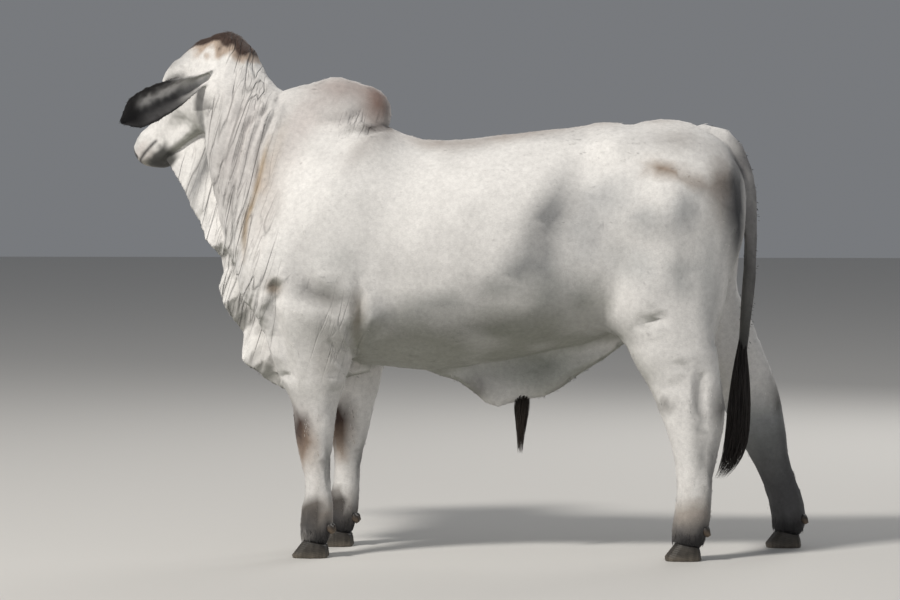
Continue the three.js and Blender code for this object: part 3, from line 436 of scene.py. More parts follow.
stains = [
    ([(-560, 1290), (-585, 1190), (-608, 1100), (-634, 1017), (-642, 900)], 9, (0.36, 0.27, 0.17), 0.75),
    ([(-508, 1340), (-560, 1200), (-590, 1100)], 20, (0.50, 0.41, 0.33), 0.4),
    # painted shade along the lower edge of the ribs, running down from the flank patch
    ([(290, 960), (230, 870), (124, 815), (-31, 766), (-186, 728), (-280, 700)], 44, (0.30, 0.305, 0.30),
      0.65),
    ([(602, 1212), (675, 1184), (725, 1166), (775, 1140)], 18, (0.24, 0.18, 0.135), 0.95),
    ([(770, 1150), (840, 1120)], 26, (0.26, 0.23, 0.21), 0.7),
    ([(-180, 1290), (0, 1266), (160, 1290), (340, 1320), (480, 1345), (620, 1352), (740, 1348)], 20,
      (0.26, 0.20, 0.165), 0.65),
]


def markLegs(lay, place, normals, patchy):
    # legs darken toward the hooves, on the hind and far legs from higher up, and in front of the knees; the
    # far hind leg's higher dark and blue-grey wash are painted shade
    height = place[:, 2]
    far = place[:, 1] > 0
    isFore = place[:, 0] < 100
    low = height < 560
    fore, hind = isFore & low, ~isFore & low
    ragged = height + 26 * unevenness(place, (30, 30, 60), 25) + 10 * unevenness(place, (9, 9, 30), 26)
    top = np.where(isFore, np.where(far, 130, 150), np.where(far, 350, 150))
    ahead = -normals[:, 0]
    back = smoothStep(-ahead, 0.2, 0.8)
    lay("sock", 0.8 * stepDown(ragged, top, top + 60) * low)
    # painted shade: a blue-grey wash on the far hind leg
    lay("farLeg", 0.75 * stepDown(ragged, 400, 500) * far * hind)
    lay("slate", 0.93 * stepDown(ragged, 0.62 * top, top) * low)
    lay("black", 0.8 * stepDown(ragged, 60, 110) * low)
    lay("toe", 0.7 * peak(height, 62, 22) * smoothStep(ahead, -0.1, 0.6) * fore * ~far)
    knee = peak(ragged, 400, 62) * smoothStep(ahead, -0.3, 0.35) * fore
    lay("tan", 0.9 * peak(ragged, 345, 60) * smoothStep(ahead, -0.45, 0.25) * fore)
    lay("brown", 1.15 * knee * (0.5 + 0.5 * patchy))
    lay("fetlock", 0.97 * peak(ragged, 136, 38) * smoothStep(ahead, -0.7, 0.1) * fore)
    lay("slate", 0.7 * peak(ragged, 270, 80) * smoothStep(-ahead, 0.5, 0.95) * fore)
    lay("hock", 0.9 * peak(ragged, 470, 55) * back * hind)
    lay("slate", 0.75 * peak(ragged, 270, 120) * back * hind)


def markTail(lay, place, patchy):
    # grey above, where the darkening is painted shade on the tail's side, and dark at its end
    height = place[:, 2]
    tail = smoothStep(place[:, 0], 880, 900) * (np.abs(place[:, 1] + 5) < 60) * (height > 560)
    # painted shade: the whole tail is darkened to grey
    lay("tail", 0.85 * tail * patchy)
    lay("tailEnd", tail * stepDown(height, 700, 1150) * patchy)
    lay("black", tail * stepDown(height, 610, 680))


def markHead(lay, place, normals, patchy):
    # dark poll with a tan edge, black nose, dark lips and eye rims, and painted shade under the chin
    head = headPlace(place)
    along, flank, level = head[:, 0], np.abs(head[:, 1]), head[:, 2]
    onHead = smoothStep(along, -110, -85) * (level > -150) * (flank < 130)
    aside = flank + 9 * unevenness(place, 20, 27)
    rise = level + 9 * unevenness(place, 16, 28)
    slope = rise - 0.42 * np.maximum(along, 0)
    crown = stepDown(aside, 58, 72) * stepDown(along, 105, 150) * smoothStep(slope, -6, 10)
    nape = stepDown(aside, 34, 52) * stepDown(along, -36, -16) * smoothStep(rise, -58, -40)
    crown = np.maximum(crown, nape) * smoothStep(along, -96, -74)
    edge = stepDown(aside, 74, 92) * stepDown(along, 50, 110) * smoothStep(slope, -38, -14)
    napeEdge = stepDown(aside, 48, 66) * stepDown(along, -30, -10) * smoothStep(rise, -80, -56)
    edge = np.maximum(edge, napeEdge) * smoothStep(along, -108, -84)
    frosted = smoothStep(along, 40, 130) * (0.5 + 0.5 * unevenness(place, 9, 29))
    lay("tan", 0.8 * edge * onHead)
    lay("brown", 0.98 * crown * onHead)
    lay("frost", 0.55 * crown * onHead * frosted)
    lay("slate", 0.6 * onHead * peak(along, 150, 40) * smoothStep(level, 50, 80) * patchy)
    pad = smoothStep(normals @ headTurn[0], 0.3, 0.55) * smoothStep(along, 440, 456)
    lay("pink", 0.14 * onHead * smoothStep(along, 395, 440) * stepDown(level, -10, 10) * patchy)
    lay("black", pad * smoothStep(level, -26, -14) * stepDown(level, 30, 44))
    nostril = np.linalg.norm(np.stack([along - 452, flank - 27, level - 6], axis=1), axis=1)
    lay("black", stepDown(nostril, 31, 37) * stepDown(flank, 42, 50))
    lips = peak(level, -31, 5) * smoothStep(along, 375, 392) * (flank < 90)
    lay("black", 0.9 * lips)
    # painted shade under the chin and jaw
    chin = smoothStep(along, 340, 390) * stepDown(rise, -62, -40) * smoothStep(level, -130, -110)
    lay("chin", 0.95 * chin)
    eye = np.linalg.norm(np.stack([along - 192, level - 24], axis=1) * np.array([0.75, 1.05]), axis=1)
    eyeSide = smoothStep(flank, 56, 70)
    lay("grey", 0.8 * stepDown(eye, 24, 52) * eyeSide * patchy)
    lay("black", stepDown(eye, 17, 26) * eyeSide)


def markEars(lay, place, normals, patchy):
    # black rim and tip, a dark hollow that is dark skin and painted shade together, with a streak of pale fur
    head = headPlace(place)
    ear = earPlace(head)
    along = ear[:, 0]
    onEar = smoothStep(along, 0.1, 0.2) * nearEar(ear) * smoothStep(fromSkull(head), 108, 122)
    inside = smoothStep(hollowSide(head, normals), -0.1, 0.3)
    across = ear[:, 1] + 0.12 * unevenness(place, 12, 33)
    lay("earRoot", 0.8 * onEar * smoothStep(along, 0.08, 0.24) * patchy)
    # the hollow's dark is its dark skin and painted shade
    lay("earHollow", 0.95 * onEar * inside * smoothStep(along, 0.22, 0.45))
    rim = smoothStep(np.abs(across), 0.62, 0.9) * smoothStep(along, 0.3, 0.5)
    lay("black", 0.95 * onEar * rim)
    ridge = peak(across, 0.3, 0.24) * stepDown(along, 0.68, 0.86)
    lay("earFur", 0.95 * onEar * ridge * inside * smoothStep(along, 0.15, 0.3) * patchy)
    lay("earBack", 0.85 * onEar * (1 - inside) * smoothStep(along, 0.4, 0.75))
    lay("black", onEar * smoothStep(along, 0.68, 0.84))


def coatColour(place, normals):
    spots = seenPlace(place)
    patchy = 1 + 0.35 * unevenness(place, 46, 21) + 0.25 * unevenness(place, 17, 22)
    colour = np.tile(np.array(coatTones["base"]), (len(place), 1))

    def lay(tone, share):
        share = np.clip(share, 0, 1)[:, None]
        colour[:] = blended(colour, coatTones[tone] if isinstance(tone, str) else tone, share)

    outward = smoothStep(outwardOf(place, normals), -0.35, 0.25)
    for middle, reach, turn, tone, share in clouds:
        fade = np.exp(-ovalGap(spots, middle, reach, turn) ** 1.4)
        lay(tone, share * fade * (0.5 + 0.6 * patchy) * outward)
    for path, width, tone, share in stains:
        gap, along = distanceTo(roundedPath(path), spots)
        fade = smoothStep(along, 0, 0.15) * stepDown(along, 0.85, 1)
        strength = share * peak(gap, 0, width) * (0.3 + 0.7 * fade)
        lay(tone, strength * (0.55 + 0.5 * patchy) * outward)
    # painted shade on the underside, where the hide faces down
    lay("belly", smoothStep(-normals[:, 2], 0.1, 0.8) * smoothStep(place[:, 2], 420, 520) * 0.9)
    lay("dapple", 0.35 * smoothStep(unevenness(place, 90, 23), 0.1, 0.6))
    markLegs(lay, place, normals, patchy)
    markTail(lay, place, patchy)
    markHead(lay, place, normals, patchy)
    markEars(lay, place, normals, patchy)
    return np.clip(colour * (1 + 0.05 * unevenness(place, 7, 24))[:, None], 0.006, 0.9)


# Eyes look out of the sides of the head, dark brown with a level pupil. Lengths in mm, lid edges in degrees
eyeSet = dict(radius=18.7, look=(0.16, 1, 0.02), iris=13.5, pupil=(8.5, 4.4), upper=30, lower=25,
              lidRadius=20.8, lidThickness=2.4, rim=7, lashes=34, lashLength=17, lashGap=1.2,
              ball=(0.035, 0.025, 0.022), brown=(0.012, 0.0065, 0.0045), dark=(0.004, 0.004, 0.006),
              rimTone=(0.018, 0.016, 0.016), lidTone=(0.24, 0.225, 0.21))
tuckSet = dict(reach=34, corner=0.84, top=0.52, bottom=0.44, behind=15.5, step=4.3, spread=3.2)
eyeSides = (("eye_left", 1), ("eye_right", -1))


def eyeTurn(side):
    # axes of one eye in the frame: forward along the face, out of the head, and up
    forward, out, rise = eyeSet["look"]
    look = Vector(headTurn[0] * forward + headTurn[1] * side * out + headTurn[2] * rise).normalized()
    ahead = Vector(headTurn[0])
    ahead = (ahead - look * ahead.dot(look)).normalized()
    up = Vector(headTurn[2])
    up = (up - look * up.dot(look) - ahead * up.dot(ahead)).normalized()
    return ahead, look, up


def eyeMatrix(node, side):
    low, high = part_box(node)
    ahead, look, up = eyeTurn(side)
    turn = Matrix((ahead, look, up)).transposed().to_4x4()
    return Matrix.Translation((low + high) / 2) @ turn @ Matrix.Scale(0.001, 4)


def tuckedRoundEyes(points):
    # inside the opening the hide goes behind the ball, round it the hide lies close under the lids
    for node, side in eyeSides:
        local = (points - np.array(eyeMatrix(node, side).translation)) @ np.array(eyeTurn(side)).T * 1000
        away = np.linalg.norm(local, axis=1)
        picked = np.nonzero((away < tuckSet["reach"]) & (local[:, 1] > 0))[0]
        near, reach = local[picked], away[picked]
        aim = near / reach[:, None]
        wide = np.abs(aim[:, 0]) / tuckSet["corner"]
        height = np.where(aim[:, 2] > 0, tuckSet["top"], tuckSet["bottom"])
        high = np.abs(aim[:, 2]) / height / np.sqrt(np.clip(1 - wide ** 2, 0.02, 1))
        opening = np.maximum(wide, high)
        wanted = tuckSet["behind"] + tuckSet["step"] * smoothStep(opening, 0.85, 1.25)
        wanted = wanted + tuckSet["spread"] * smoothStep(opening, 1.3, 2.2)
        share = stepDown(reach, 24, tuckSet["reach"]) * smoothStep(near[:, 1], 0, 5)
        near = aim * (reach + (wanted - reach) * share)[:, None]
        points[picked] = near @ np.array(eyeTurn(side)) / 1000 + np.array(eyeMatrix(node, side).translation)
    return points


# Skin: every flesh solid of the frame runs into one closed surface, whose facets are then rubbed out
skinSet = dict(cell=0.0042, broadCell=0.014, limit=190000)
fleshNodes = ["head", "neck", "hump", "torso", "rump", "dewlap", "sheath", "scrotum", "tail", "ear_left",
              "ear_right", "leg_fore_left", "leg_fore_right", "leg_hind_left", "leg_hind_right"]
broadNodes = [name for name in fleshNodes if name not in ("dewlap", "tail", "ear_left", "ear_right")]


def joinedCopy(names, label):
    bm = bmesh.new()
    for name in names:
        part = bmesh.new()
        part.from_mesh(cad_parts[name].data)
        bmesh.ops.remove_doubles(part, verts=part.verts, dist=0.00001)
        mesh = meshFrom(part, "copy")
        bm.from_mesh(mesh)
        bpy.data.meshes.remove(mesh)
    return meshFrom(bm, label)


def finished(mesh, label, modifiers, groups=()):
    # the mesh with its modifiers applied
    holder = bpy.data.objects.new(label, mesh)
    bpy.context.scene.collection.objects.link(holder)
    for name, numbers, weight in groups:
        group = holder.vertex_groups.get(name) or holder.vertex_groups.new(name=name)
        group.add(numbers, weight, "REPLACE")
    for kind, values in modifiers:
        modifier = holder.modifiers.new(kind.lower(), kind)
        for key, value in values.items():
            setattr(modifier, key, value)
    graph = bpy.context.evaluated_depsgraph_get()
    result = bpy.data.meshes.new_from_object(holder.evaluated_get(graph))
    bpy.data.objects.remove(holder)
    result.name = label
    return result


def remeshed(names, label, cell):
    return finished(joinedCopy(names, label), label, [("REMESH", dict(mode="VOXEL", voxel_size=cell))])


def valuesOf(items, key, width=3, kind=float):
    values = np.empty(len(items) * width, dtype=kind)
    items.foreach_get(key, values)
    return values.reshape(-1, width)


def pointsOf(mesh):
    return valuesOf(mesh.vertices, "co")


def normalsOf(mesh):
    return valuesOf(mesh.vertex_normals, "vector")


def edgesOf(mesh):
    return valuesOf(mesh.edges, "vertices", 2, np.int32).astype(np.int64)


def movePoints(mesh, points):
    mesh.vertices.foreach_set("co", points.ravel())
    mesh.update()


def relaxed(values, edges, weight, rounds, pull=-0.505):
    # rubs and swells in turn, so that short waves go and the girth stays
    count = len(values)
    both = np.concatenate([edges, edges[:, ::-1]])
    number = np.maximum(np.bincount(both[:, 0], minlength=count), 1)[:, None]
    for turn in range(rounds):
        for step in (0.5, pull):
            mean = np.empty_like(values)
            for axis in range(values.shape[1]):
                mean[:, axis] = np.bincount(both[:, 0], weights=values[both[:, 1], axis], minlength=count)
            values = values + (mean / number - values) * step * weight
    return values


def roundedTips(points):
    # the last quarter of each ear narrows to a round end
    tipStart, tipLength = 0.74, 0.27
    head = headPlace(designPlace(points))
    ear = earPlace(head)
    picked = np.nonzero((ear[:, 0] > tipStart) & nearEar(ear))[0]
    beyond = (ear[picked, 0] - tipStart) / tipLength
    narrow = 1 - np.sqrt(np.clip(1 - beyond ** 2.4, 0.01, 1))
    middle = np.median(ear[picked][:, 1])
    shift = (middle - ear[picked, 1]) * earSet["half"] * narrow
    across = shift[:, None] * earTurn[1]
    across[:, 1] *= earSide(head[picked])
    points[picked] += across @ headTurn / 1000
    return points


def rubbedOut(broad, fine):
    # the coarse copy is rubbed hard, the fine one follows it and is then rubbed a little
    start = pointsOf(broad)
    place = designPlace(start)
    legs = stepDown(place[:, 2], 520, 640)
    head = stepDown(place[:, 0], -740, -600)
    weight = (1 - 0.75 * np.maximum(legs, head))[:, None]
    change = relaxed(start, edgesOf(broad), weight, 26) - start
    tree = KDTree(len(start))
    for number, point in enumerate(start):
        tree.insert(point, number)
    tree.balance()
    points = pointsOf(fine)
    nearest = np.array([tree.find(point)[1:] for point in points])
    shift = change[nearest[:, 0].astype(np.int64)] * stepDown(nearest[:, 1], 0.012, 0.03)[:, None]
    edges = edgesOf(fine)
    whole = np.ones((len(points), 1))
    shift = relaxed(shift, edges, whole, 8, 0.5)
    points = relaxed(points + shift, edges, whole, 7, -0.52)
    ear = earPlace(headPlace(designPlace(points)))
    tip = smoothStep(ear[:, 0], 0.3, 0.6) * nearEar(ear)
    return roundedTips(relaxed(points, edges, tip[:, None], 10, -0.5))


def makeSkinMesh():
    broad = remeshed(broadNodes, "broad", skinSet["broadCell"])
    fine = remeshed(fleshNodes, "skin", skinSet["cell"])
    print("skin joined", len(broad.vertices), len(fine.vertices))
    points = rubbedOut(broad, fine)
    movePoints(fine, points)
    print("facets rubbed out")
    normals = normalsOf(fine)
    rise = reliefAt(designPlace(points), normals)
    points = tuckedRoundEyes(points + normals * rise[:, None] / 1000)
    movePoints(fine, points)
    print("folds and muscles laid")
    triangles = 2 * len(fine.polygons)
    if triangles <= skinSet["limit"]:
        return fine
    # the head, ears and neck keep more of their faces than the trunk and legs
    place = designPlace(points)
    head = headPlace(place)
    ahead = (head[:, 0] > -60) & (head[:, 2] > -150)
    neck = (place[:, 0] < -480) & (place[:, 2] > 560) & ~ahead
    groups = [("thin", np.nonzero(part)[0].tolist(), weight)
              for part, weight in ((~ahead & ~neck, 1.0), (neck, 0.95), (ahead, 0.6))]
    thinning = dict(ratio=skinSet["limit"] / triangles, vertex_group="thin", vertex_group_factor=1.0)
    made = finished(fine, "skin", [("DECIMATE", thinning)], groups)
    print("skin thinned", len(made.polygons))
    return made


def newPiece(mesh, label, material, nodes=()):
    piece = bpy.data.objects.new(label, mesh)
    bpy.context.scene.collection.objects.link(piece)
    mesh.materials.clear()
    mesh.materials.append(material)
    mesh.polygons.foreach_set("use_smooth", [True] * len(mesh.polygons))
    mesh.update()
    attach(piece, "root")
    if nodes:
        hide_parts(*nodes)
    return piece


def paint(mesh, colours):
    tone = mesh.attributes.new("tone", "FLOAT_COLOR", "POINT")
    values = np.concatenate([colours, np.ones((len(colours), 1))], axis=1)
    tone.data.foreach_set("color", values.astype(np.float32).ravel())


def looseness(place):
    # how wrinkled the hide is: the neck and dewlap, behind the elbow, and under the hump; it sets the depth
    # and painted shade of the fold lines
    spots = seenPlace(place)
    head = headPlace(place)
    neck = smoothStep(-spots[:, 0], 500, 600) * smoothStep(spots[:, 1], 560, 700)
    neck *= 1 - smoothStep(head[:, 0], -50, 30) * smoothStep(head[:, 2], -150, -110)
    elbow = np.exp(-((spots[:, 0] + 345) / 70) ** 2 - ((spots[:, 1] - 640) / 110) ** 2)
    hump = np.exp(-((spots[:, 0] + 290) / 90) ** 2 - ((spots[:, 1] - 1325) / 34) ** 2)
    return np.clip(neck * 0.9 + elbow * 0.8 + hump * 0.7, 0, 1)


# Materials: the colour is on each piece, and noise breaks it up and lifts the short hair; fold lines get
# painted shade
def newNode(tree, kind, inputs, **settings):
    # each input is given a value or another node's output
    node = tree.nodes.new(kind)
    for name, value in settings.items():
        setattr(node, name, value)
    for name, value in inputs.items():
        if isinstance(value, bpy.types.NodeSocket):
            tree.links.new(value, node.inputs[name])
        else:
            node.inputs[name].default_value = value
    return node


def linkedMath(tree, operation, first, second):
    return newNode(tree, "ShaderNodeMath", {0: first, 1: second}, operation=operation).outputs[0]


def newGroup(label, **given):
    # a node group with the named inputs that puts out a colour and a height
    group = bpy.data.node_groups.new(label, "ShaderNodeTree")
    for name, kind in given.items():
        group.interface.new_socket(name, in_out="INPUT", socket_type="NodeSocket" + kind)
    group.interface.new_socket("Colour", in_out="OUTPUT", socket_type="NodeSocketColor")
    group.interface.new_socket("Height", in_out="OUTPUT", socket_type="NodeSocketFloat")
    return group, group.nodes.new("NodeGroupInput").outputs


def shadedBy(group, tone, shade, height):
    # the group's result: the tone times the shade, and the height
    shaded = newNode(group, "ShaderNodeVectorMath", {0: tone, "Scale": shade}, operation="SCALE")
    newNode(group, "NodeGroupOutput", {"Colour": shaded.outputs[0], "Height": height})


def hairGrainGroup():
    # short hair as stretched noise, and flecks in its colour
    group, given = newGroup("hairGrain", Tone="Color", Vector="Vector", Fineness="Float", Fleck="Float")
    scaled = newNode(group, "ShaderNodeVectorMath", {0: given["Vector"], 1: (0.32, 1.0, 0.62)},
                     operation="MULTIPLY")
    hair = newNode(group, "ShaderNodeTexNoise", {"Vector": scaled.outputs[0], "Scale": given["Fineness"],
                                                 "Detail": 3, "Roughness": 0.7, "Distortion": 0.4})
    blotch = newNode(group, "ShaderNodeTexNoise", {"Vector": given["Vector"], "Scale": 70, "Detail": 4})
    both = linkedMath(group, "ADD", hair.outputs["Fac"], blotch.outputs["Fac"])
    lift = newNode(group, "ShaderNodeMapRange", {"Value": both, "From Min": 0.6, "From Max": 1.4,
                                                 "To Min": -1, "To Max": 1})
    flecked = newNode(group, "ShaderNodeMath", {0: lift.outputs[0], 1: given["Fleck"], 2: 1},
                      operation="MULTIPLY_ADD")
    shadedBy(group, given["Tone"], flecked.outputs[0], hair.outputs["Fac"])
    return group


def foldShadeLinesGroup():
    # thin lines that run down loose skin, where stretched noise crosses its middle value: they sink and are
    # darkened as painted shade
    group, given = newGroup("foldLines", Tone="Color", Vector="Vector", Amount="Float")
    turned = newNode(group, "ShaderNodeVectorRotate", {"Vector": given["Vector"], "Angle": math.radians(-15)},
                     rotation_type="Y_AXIS")
    stretched = newNode(group, "ShaderNodeVectorMath", {0: turned.outputs[0], 1: (1, 0.3, 0.09)},
                        operation="MULTIPLY")
    lines = []
    for scale, width in ((17, 0.035), (38, 0.05)):
        noise = newNode(group, "ShaderNodeTexNoise", {"Vector": stretched.outputs[0], "Scale": scale,
                                                      "Detail": 2, "Distortion": 0.3})
        away = linkedMath(group, "ABSOLUTE", linkedMath(group, "SUBTRACT", noise.outputs["Fac"], 0.5), 0)
        inside = linkedMath(group, "SUBTRACT", 1, linkedMath(group, "DIVIDE", away, width))
        near = linkedMath(group, "MAXIMUM", inside, 0)
        lines.append(linkedMath(group, "MULTIPLY", near, near))
    both = linkedMath(group, "ADD", lines[0], linkedMath(group, "MULTIPLY", lines[1], 0.45))
    sunk = linkedMath(group, "MULTIPLY", both, given["Amount"])
    shade = linkedMath(group, "SUBTRACT", 1, linkedMath(group, "MULTIPLY", sunk, 0.42))
    shadedBy(group, given["Tone"], shade, linkedMath(group, "SUBTRACT", 1, sunk))
    return group


hairGrain = hairGrainGroup()
foldLines = foldShadeLinesGroup()


def paintedMaterial(label, fineness, fleck, roughness, bump, sheen=0.0, specular=0.3, folds=False):
    material = newMaterial(label, {"Roughness": roughness, "Specular IOR Level": specular,
                                   "Sheen Weight": sheen, "Sheen Roughness": 0.5})
    tree = material.node_tree
    shader = tree.nodes["Principled BSDF"].inputs
    tone = newNode(tree, "ShaderNodeAttribute", {}, attribute_name="tone").outputs["Color"]
    place = newNode(tree, "ShaderNodeTexCoord", {}).outputs["Object"]
    grain = newNode(tree, "ShaderNodeGroup", {}, node_tree=hairGrain)
    tree.links.new(tone, grain.inputs["Tone"])
    tree.links.new(place, grain.inputs["Vector"])
    grain.inputs["Fineness"].default_value = fineness
    grain.inputs["Fleck"].default_value = fleck
    tree.links.new(grain.outputs["Colour"], shader["Base Color"])
    if bump:
        relief = newNode(tree, "ShaderNodeBump", {"Strength": bump, "Distance": 0.0012,
                                                  "Height": grain.outputs["Height"]})
        tree.links.new(relief.outputs["Normal"], shader["Normal"])
    # fold lines of loose skin: sunk by bump, darkened with painted shade
    if folds:
        amount = newNode(tree, "ShaderNodeAttribute", {}, attribute_name="fold").outputs["Fac"]
        lines = newNode(tree, "ShaderNodeGroup", {}, node_tree=foldLines)
        tree.links.new(grain.outputs["Colour"], lines.inputs["Tone"])
        tree.links.new(place, lines.inputs["Vector"])
        tree.links.new(amount, lines.inputs["Amount"])
        tree.links.new(lines.outputs["Colour"], shader["Base Color"])
        sunk = newNode(tree, "ShaderNodeBump", {"Strength": 1, "Distance": 0.004,
                                                "Height": lines.outputs["Height"],
                                                "Normal": relief.outputs["Normal"]})
        tree.links.new(sunk.outputs["Normal"], shader["Normal"])
    return material


hideMaterial = paintedMaterial("shortCoat", fineness=520, fleck=0.16, roughness=0.72, bump=0.75, sheen=0.12,
                               folds=True)
hairMaterial = paintedMaterial("hair", fineness=300, fleck=0.1, roughness=0.5, bump=0)
coatMaterial = paintedMaterial("coatHair", fineness=520, fleck=0.16, roughness=0.74, bump=0, sheen=0.12)

skinMesh = makeSkinMesh()
paint(skinMesh, coatColour(designPlace(pointsOf(skinMesh)), normalsOf(skinMesh)))
looseSkin = looseness(designPlace(pointsOf(skinMesh))).astype(np.float32)
skinMesh.attributes.new("fold", "FLOAT", "POINT").data.foreach_set("value", looseSkin)
skin = newPiece(skinMesh, "skin", hideMaterial, fleshNodes)
print("skin painted", len(skinMesh.polygons))


# Hooves and dewclaws: the frame's claws with their edges worn round and growth rings in the horn
hoofSet = dict(cell=0.0024, ring=6.5, ringDepth=0.45, rounds=7, spurRounds=22, horn=(0.050, 0.044, 0.037),
               worn=(0.115, 0.098, 0.078), band=(0.025, 0.023, 0.022), spur=(0.13, 0.095, 0.065))
hornMaterial = paintedMaterial("horn", fineness=90, fleck=0.3, roughness=0.5, bump=0.3, specular=0.4)


def makeHorn(node):
    isHoof = node.startswith("hoof")
    mesh = remeshed([node], node, hoofSet["cell"])
    rounds = hoofSet["rounds"] if isHoof else hoofSet["spurRounds"]
    points = pointsOf(mesh)
    points = relaxed(points, edgesOf(mesh), np.ones((len(points), 1)), rounds, -0.51)
    place = designPlace(points)
    low, high = place.min(axis=0), place.max(axis=0)
    movePoints(mesh, points)
    normals = normalsOf(mesh)
    streak = unevenness(place, (5, 5, 60), 31)
    if isHoof:
        level = place[:, 2] + 0.22 * (place[:, 0] - low[0])
        wall = stepDown(-normals[:, 2], 0.4, 0.8) * stepDown(normals[:, 2], 0.6, 0.9)
        rings = np.sin(2 * math.pi * level / hoofSet["ring"] + 1.5 * unevenness(place, 30, 32))
        points = points + normals * (wall * (hoofSet["ringDepth"] * rings + 0.3 * streak))[:, None] / 1000
        colours = blended(hoofSet["worn"], hoofSet["horn"], smoothStep(place[:, 2], 2, 26)[:, None])
        top = smoothStep(level, high[2] - 6, high[2] + 12)[:, None]
        colours = blended(colours, hoofSet["band"], 0.8 * top) * (1 + 0.16 * rings + 0.3 * streak)[:, None]
    else:
        share = smoothStep(place[:, 2], low[2], high[2])[:, None]
        colours = blended(hoofSet["spur"], hoofSet["band"], share) * (1 + 0.25 * streak)[:, None]
    points[:, 2] = np.maximum(points[:, 2], 0)
    movePoints(mesh, points)
    paint(mesh, np.clip(colours, 0.01, 0.6))
    newPiece(mesh, node + "_horn", hornMaterial, [node])


for node in sorted(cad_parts):
    if node.startswith("hoof_") or node.startswith("dewclaw_"):
        makeHorn(node)
print("hooves made")

# Eyeballs and their thick lids
eyeMaterial = newMaterial("eye", {"Roughness": 0.12, "Coat Weight": 1, "Coat Roughness": 0.03})
eyeTone = newNode(eyeMaterial.node_tree, "ShaderNodeAttribute", {}, attribute_name="tone").outputs["Color"]
eyeMaterial.node_tree.links.new(eyeTone, eyeMaterial.node_tree.nodes["Principled BSDF"].inputs["Base Color"])


def placeInSocket(mesh, node, side):
    mesh.transform(eyeMatrix(node, side))
    if side < 0:
        mesh.flip_normals()


def makeEye(node, side):
    bm = bmesh.new()
    bmesh.ops.create_uvsphere(bm, u_segments=48, v_segments=32, radius=eyeSet["radius"])
    mesh = meshFrom(bm, node)
    local = pointsOf(mesh)
    ring = np.hypot(local[:, 0], local[:, 2])
    pupil = np.hypot(local[:, 0] / eyeSet["pupil"][0], local[:, 2] / eyeSet["pupil"][1])
    front = (local[:, 1] > 0)[:, None]
    iris = stepDown(ring, eyeSet["iris"], eyeSet["iris"] + 2)[:, None] * front
    colours = blended(eyeSet["ball"], eyeSet["brown"], iris)
    colours = blended(colours, eyeSet["dark"], stepDown(pupil, 0.8, 1.15)[:, None] * front)
    placeInSocket(mesh, node, side)
    paint(mesh, colours)
    newPiece(mesh, node + "_ball", eyeMaterial, [node])


def cutAt(bm, place, normal, clear=False):
    everything = list(bm.verts) + list(bm.edges) + list(bm.faces)
    bmesh.ops.bisect_plane(bm, geom=everything, plane_co=place, plane_no=normal, clear_inner=clear)


def makeLid(node, side, upper):
    # a part of a shell round the ball, whose poles are the corners of the eye
    bm = bmesh.new()
    bmesh.ops.create_uvsphere(bm, u_segments=96, v_segments=48, radius=eyeSet["lidRadius"])
    bmesh.ops.rotate(bm, verts=bm.verts, matrix=Matrix.Rotation(math.radians(90), 3, "Y"))
    sign = 1 if upper else -1
    edge = math.radians(eyeSet["upper"] if upper else eyeSet["lower"])
    keep = Vector((0, -math.sin(edge), sign * math.cos(edge)))
    cutAt(bm, (0, 0, 0), keep, True)
    cutAt(bm, (0, 1, 0), (0, 1, 0), True)
    bmesh.ops.solidify(bm, geom=list(bm.faces), thickness=-eyeSet["lidThickness"])
    bmesh.ops.recalc_face_normals(bm, faces=bm.faces)
    mesh = meshFrom(bm, "lid")
    local = pointsOf(mesh)
    far = local @ np.array(keep)
    share = smoothStep(far, 1.5, eyeSet["rim"])[:, None]
    fold = 0.5 * np.sin(far * 1.5) * smoothStep(far, 2, 6) - 0.09 * np.maximum(far - 5, 0)
    outward = local / np.linalg.norm(local, axis=1)[:, None]
    movePoints(mesh, local + outward * fold[:, None])
    placeInSocket(mesh, node, side)
    paint(mesh, blended(eyeSet["rimTone"], eyeSet["lidTone"], share))
    newPiece(mesh, node + ("_lid_upper" if upper else "_lid_lower"), hideMaterial)


def lashPaths(node, side, generator):
    # curved lashes along the edge of the upper lid
    count = eyeSet["lashes"]
    edge = math.radians(eyeSet["upper"])
    angle = np.linspace(-0.95, 0.95, count) + generator.uniform(-0.02, 0.02, count)
    lid = np.stack([np.sin(angle), np.cos(angle) * math.cos(edge), np.cos(angle) * math.sin(edge)], axis=1)
    root = (eyeSet["lidRadius"] + eyeSet["lashGap"]) * lid
    t = np.linspace(0, 1, 5)[None, :, None]
    length = eyeSet["lashLength"] * generator.uniform(0.7, 1.1, count) * np.cos(angle * 0.8)
    out = np.stack([0.9 * np.sin(angle), np.ones(count), np.full(count, -0.25)], axis=1)[:, None]
    local = root[:, None] + length[:, None, None] * (out * t + np.array([0, -0.25, 0.55]) * t ** 2)
    world = local @ np.array(eyeTurn(side)) / 1000 + np.array(eyeMatrix(node, side).translation)
    facing = np.tile(np.array(eyeTurn(side)[2]), (count, 1))
    return world, facing


for node, side in eyeSides:
    makeEye(node, side)
    makeLid(node, side, True)
    makeLid(node, side, False)
print("eyes and lids made")


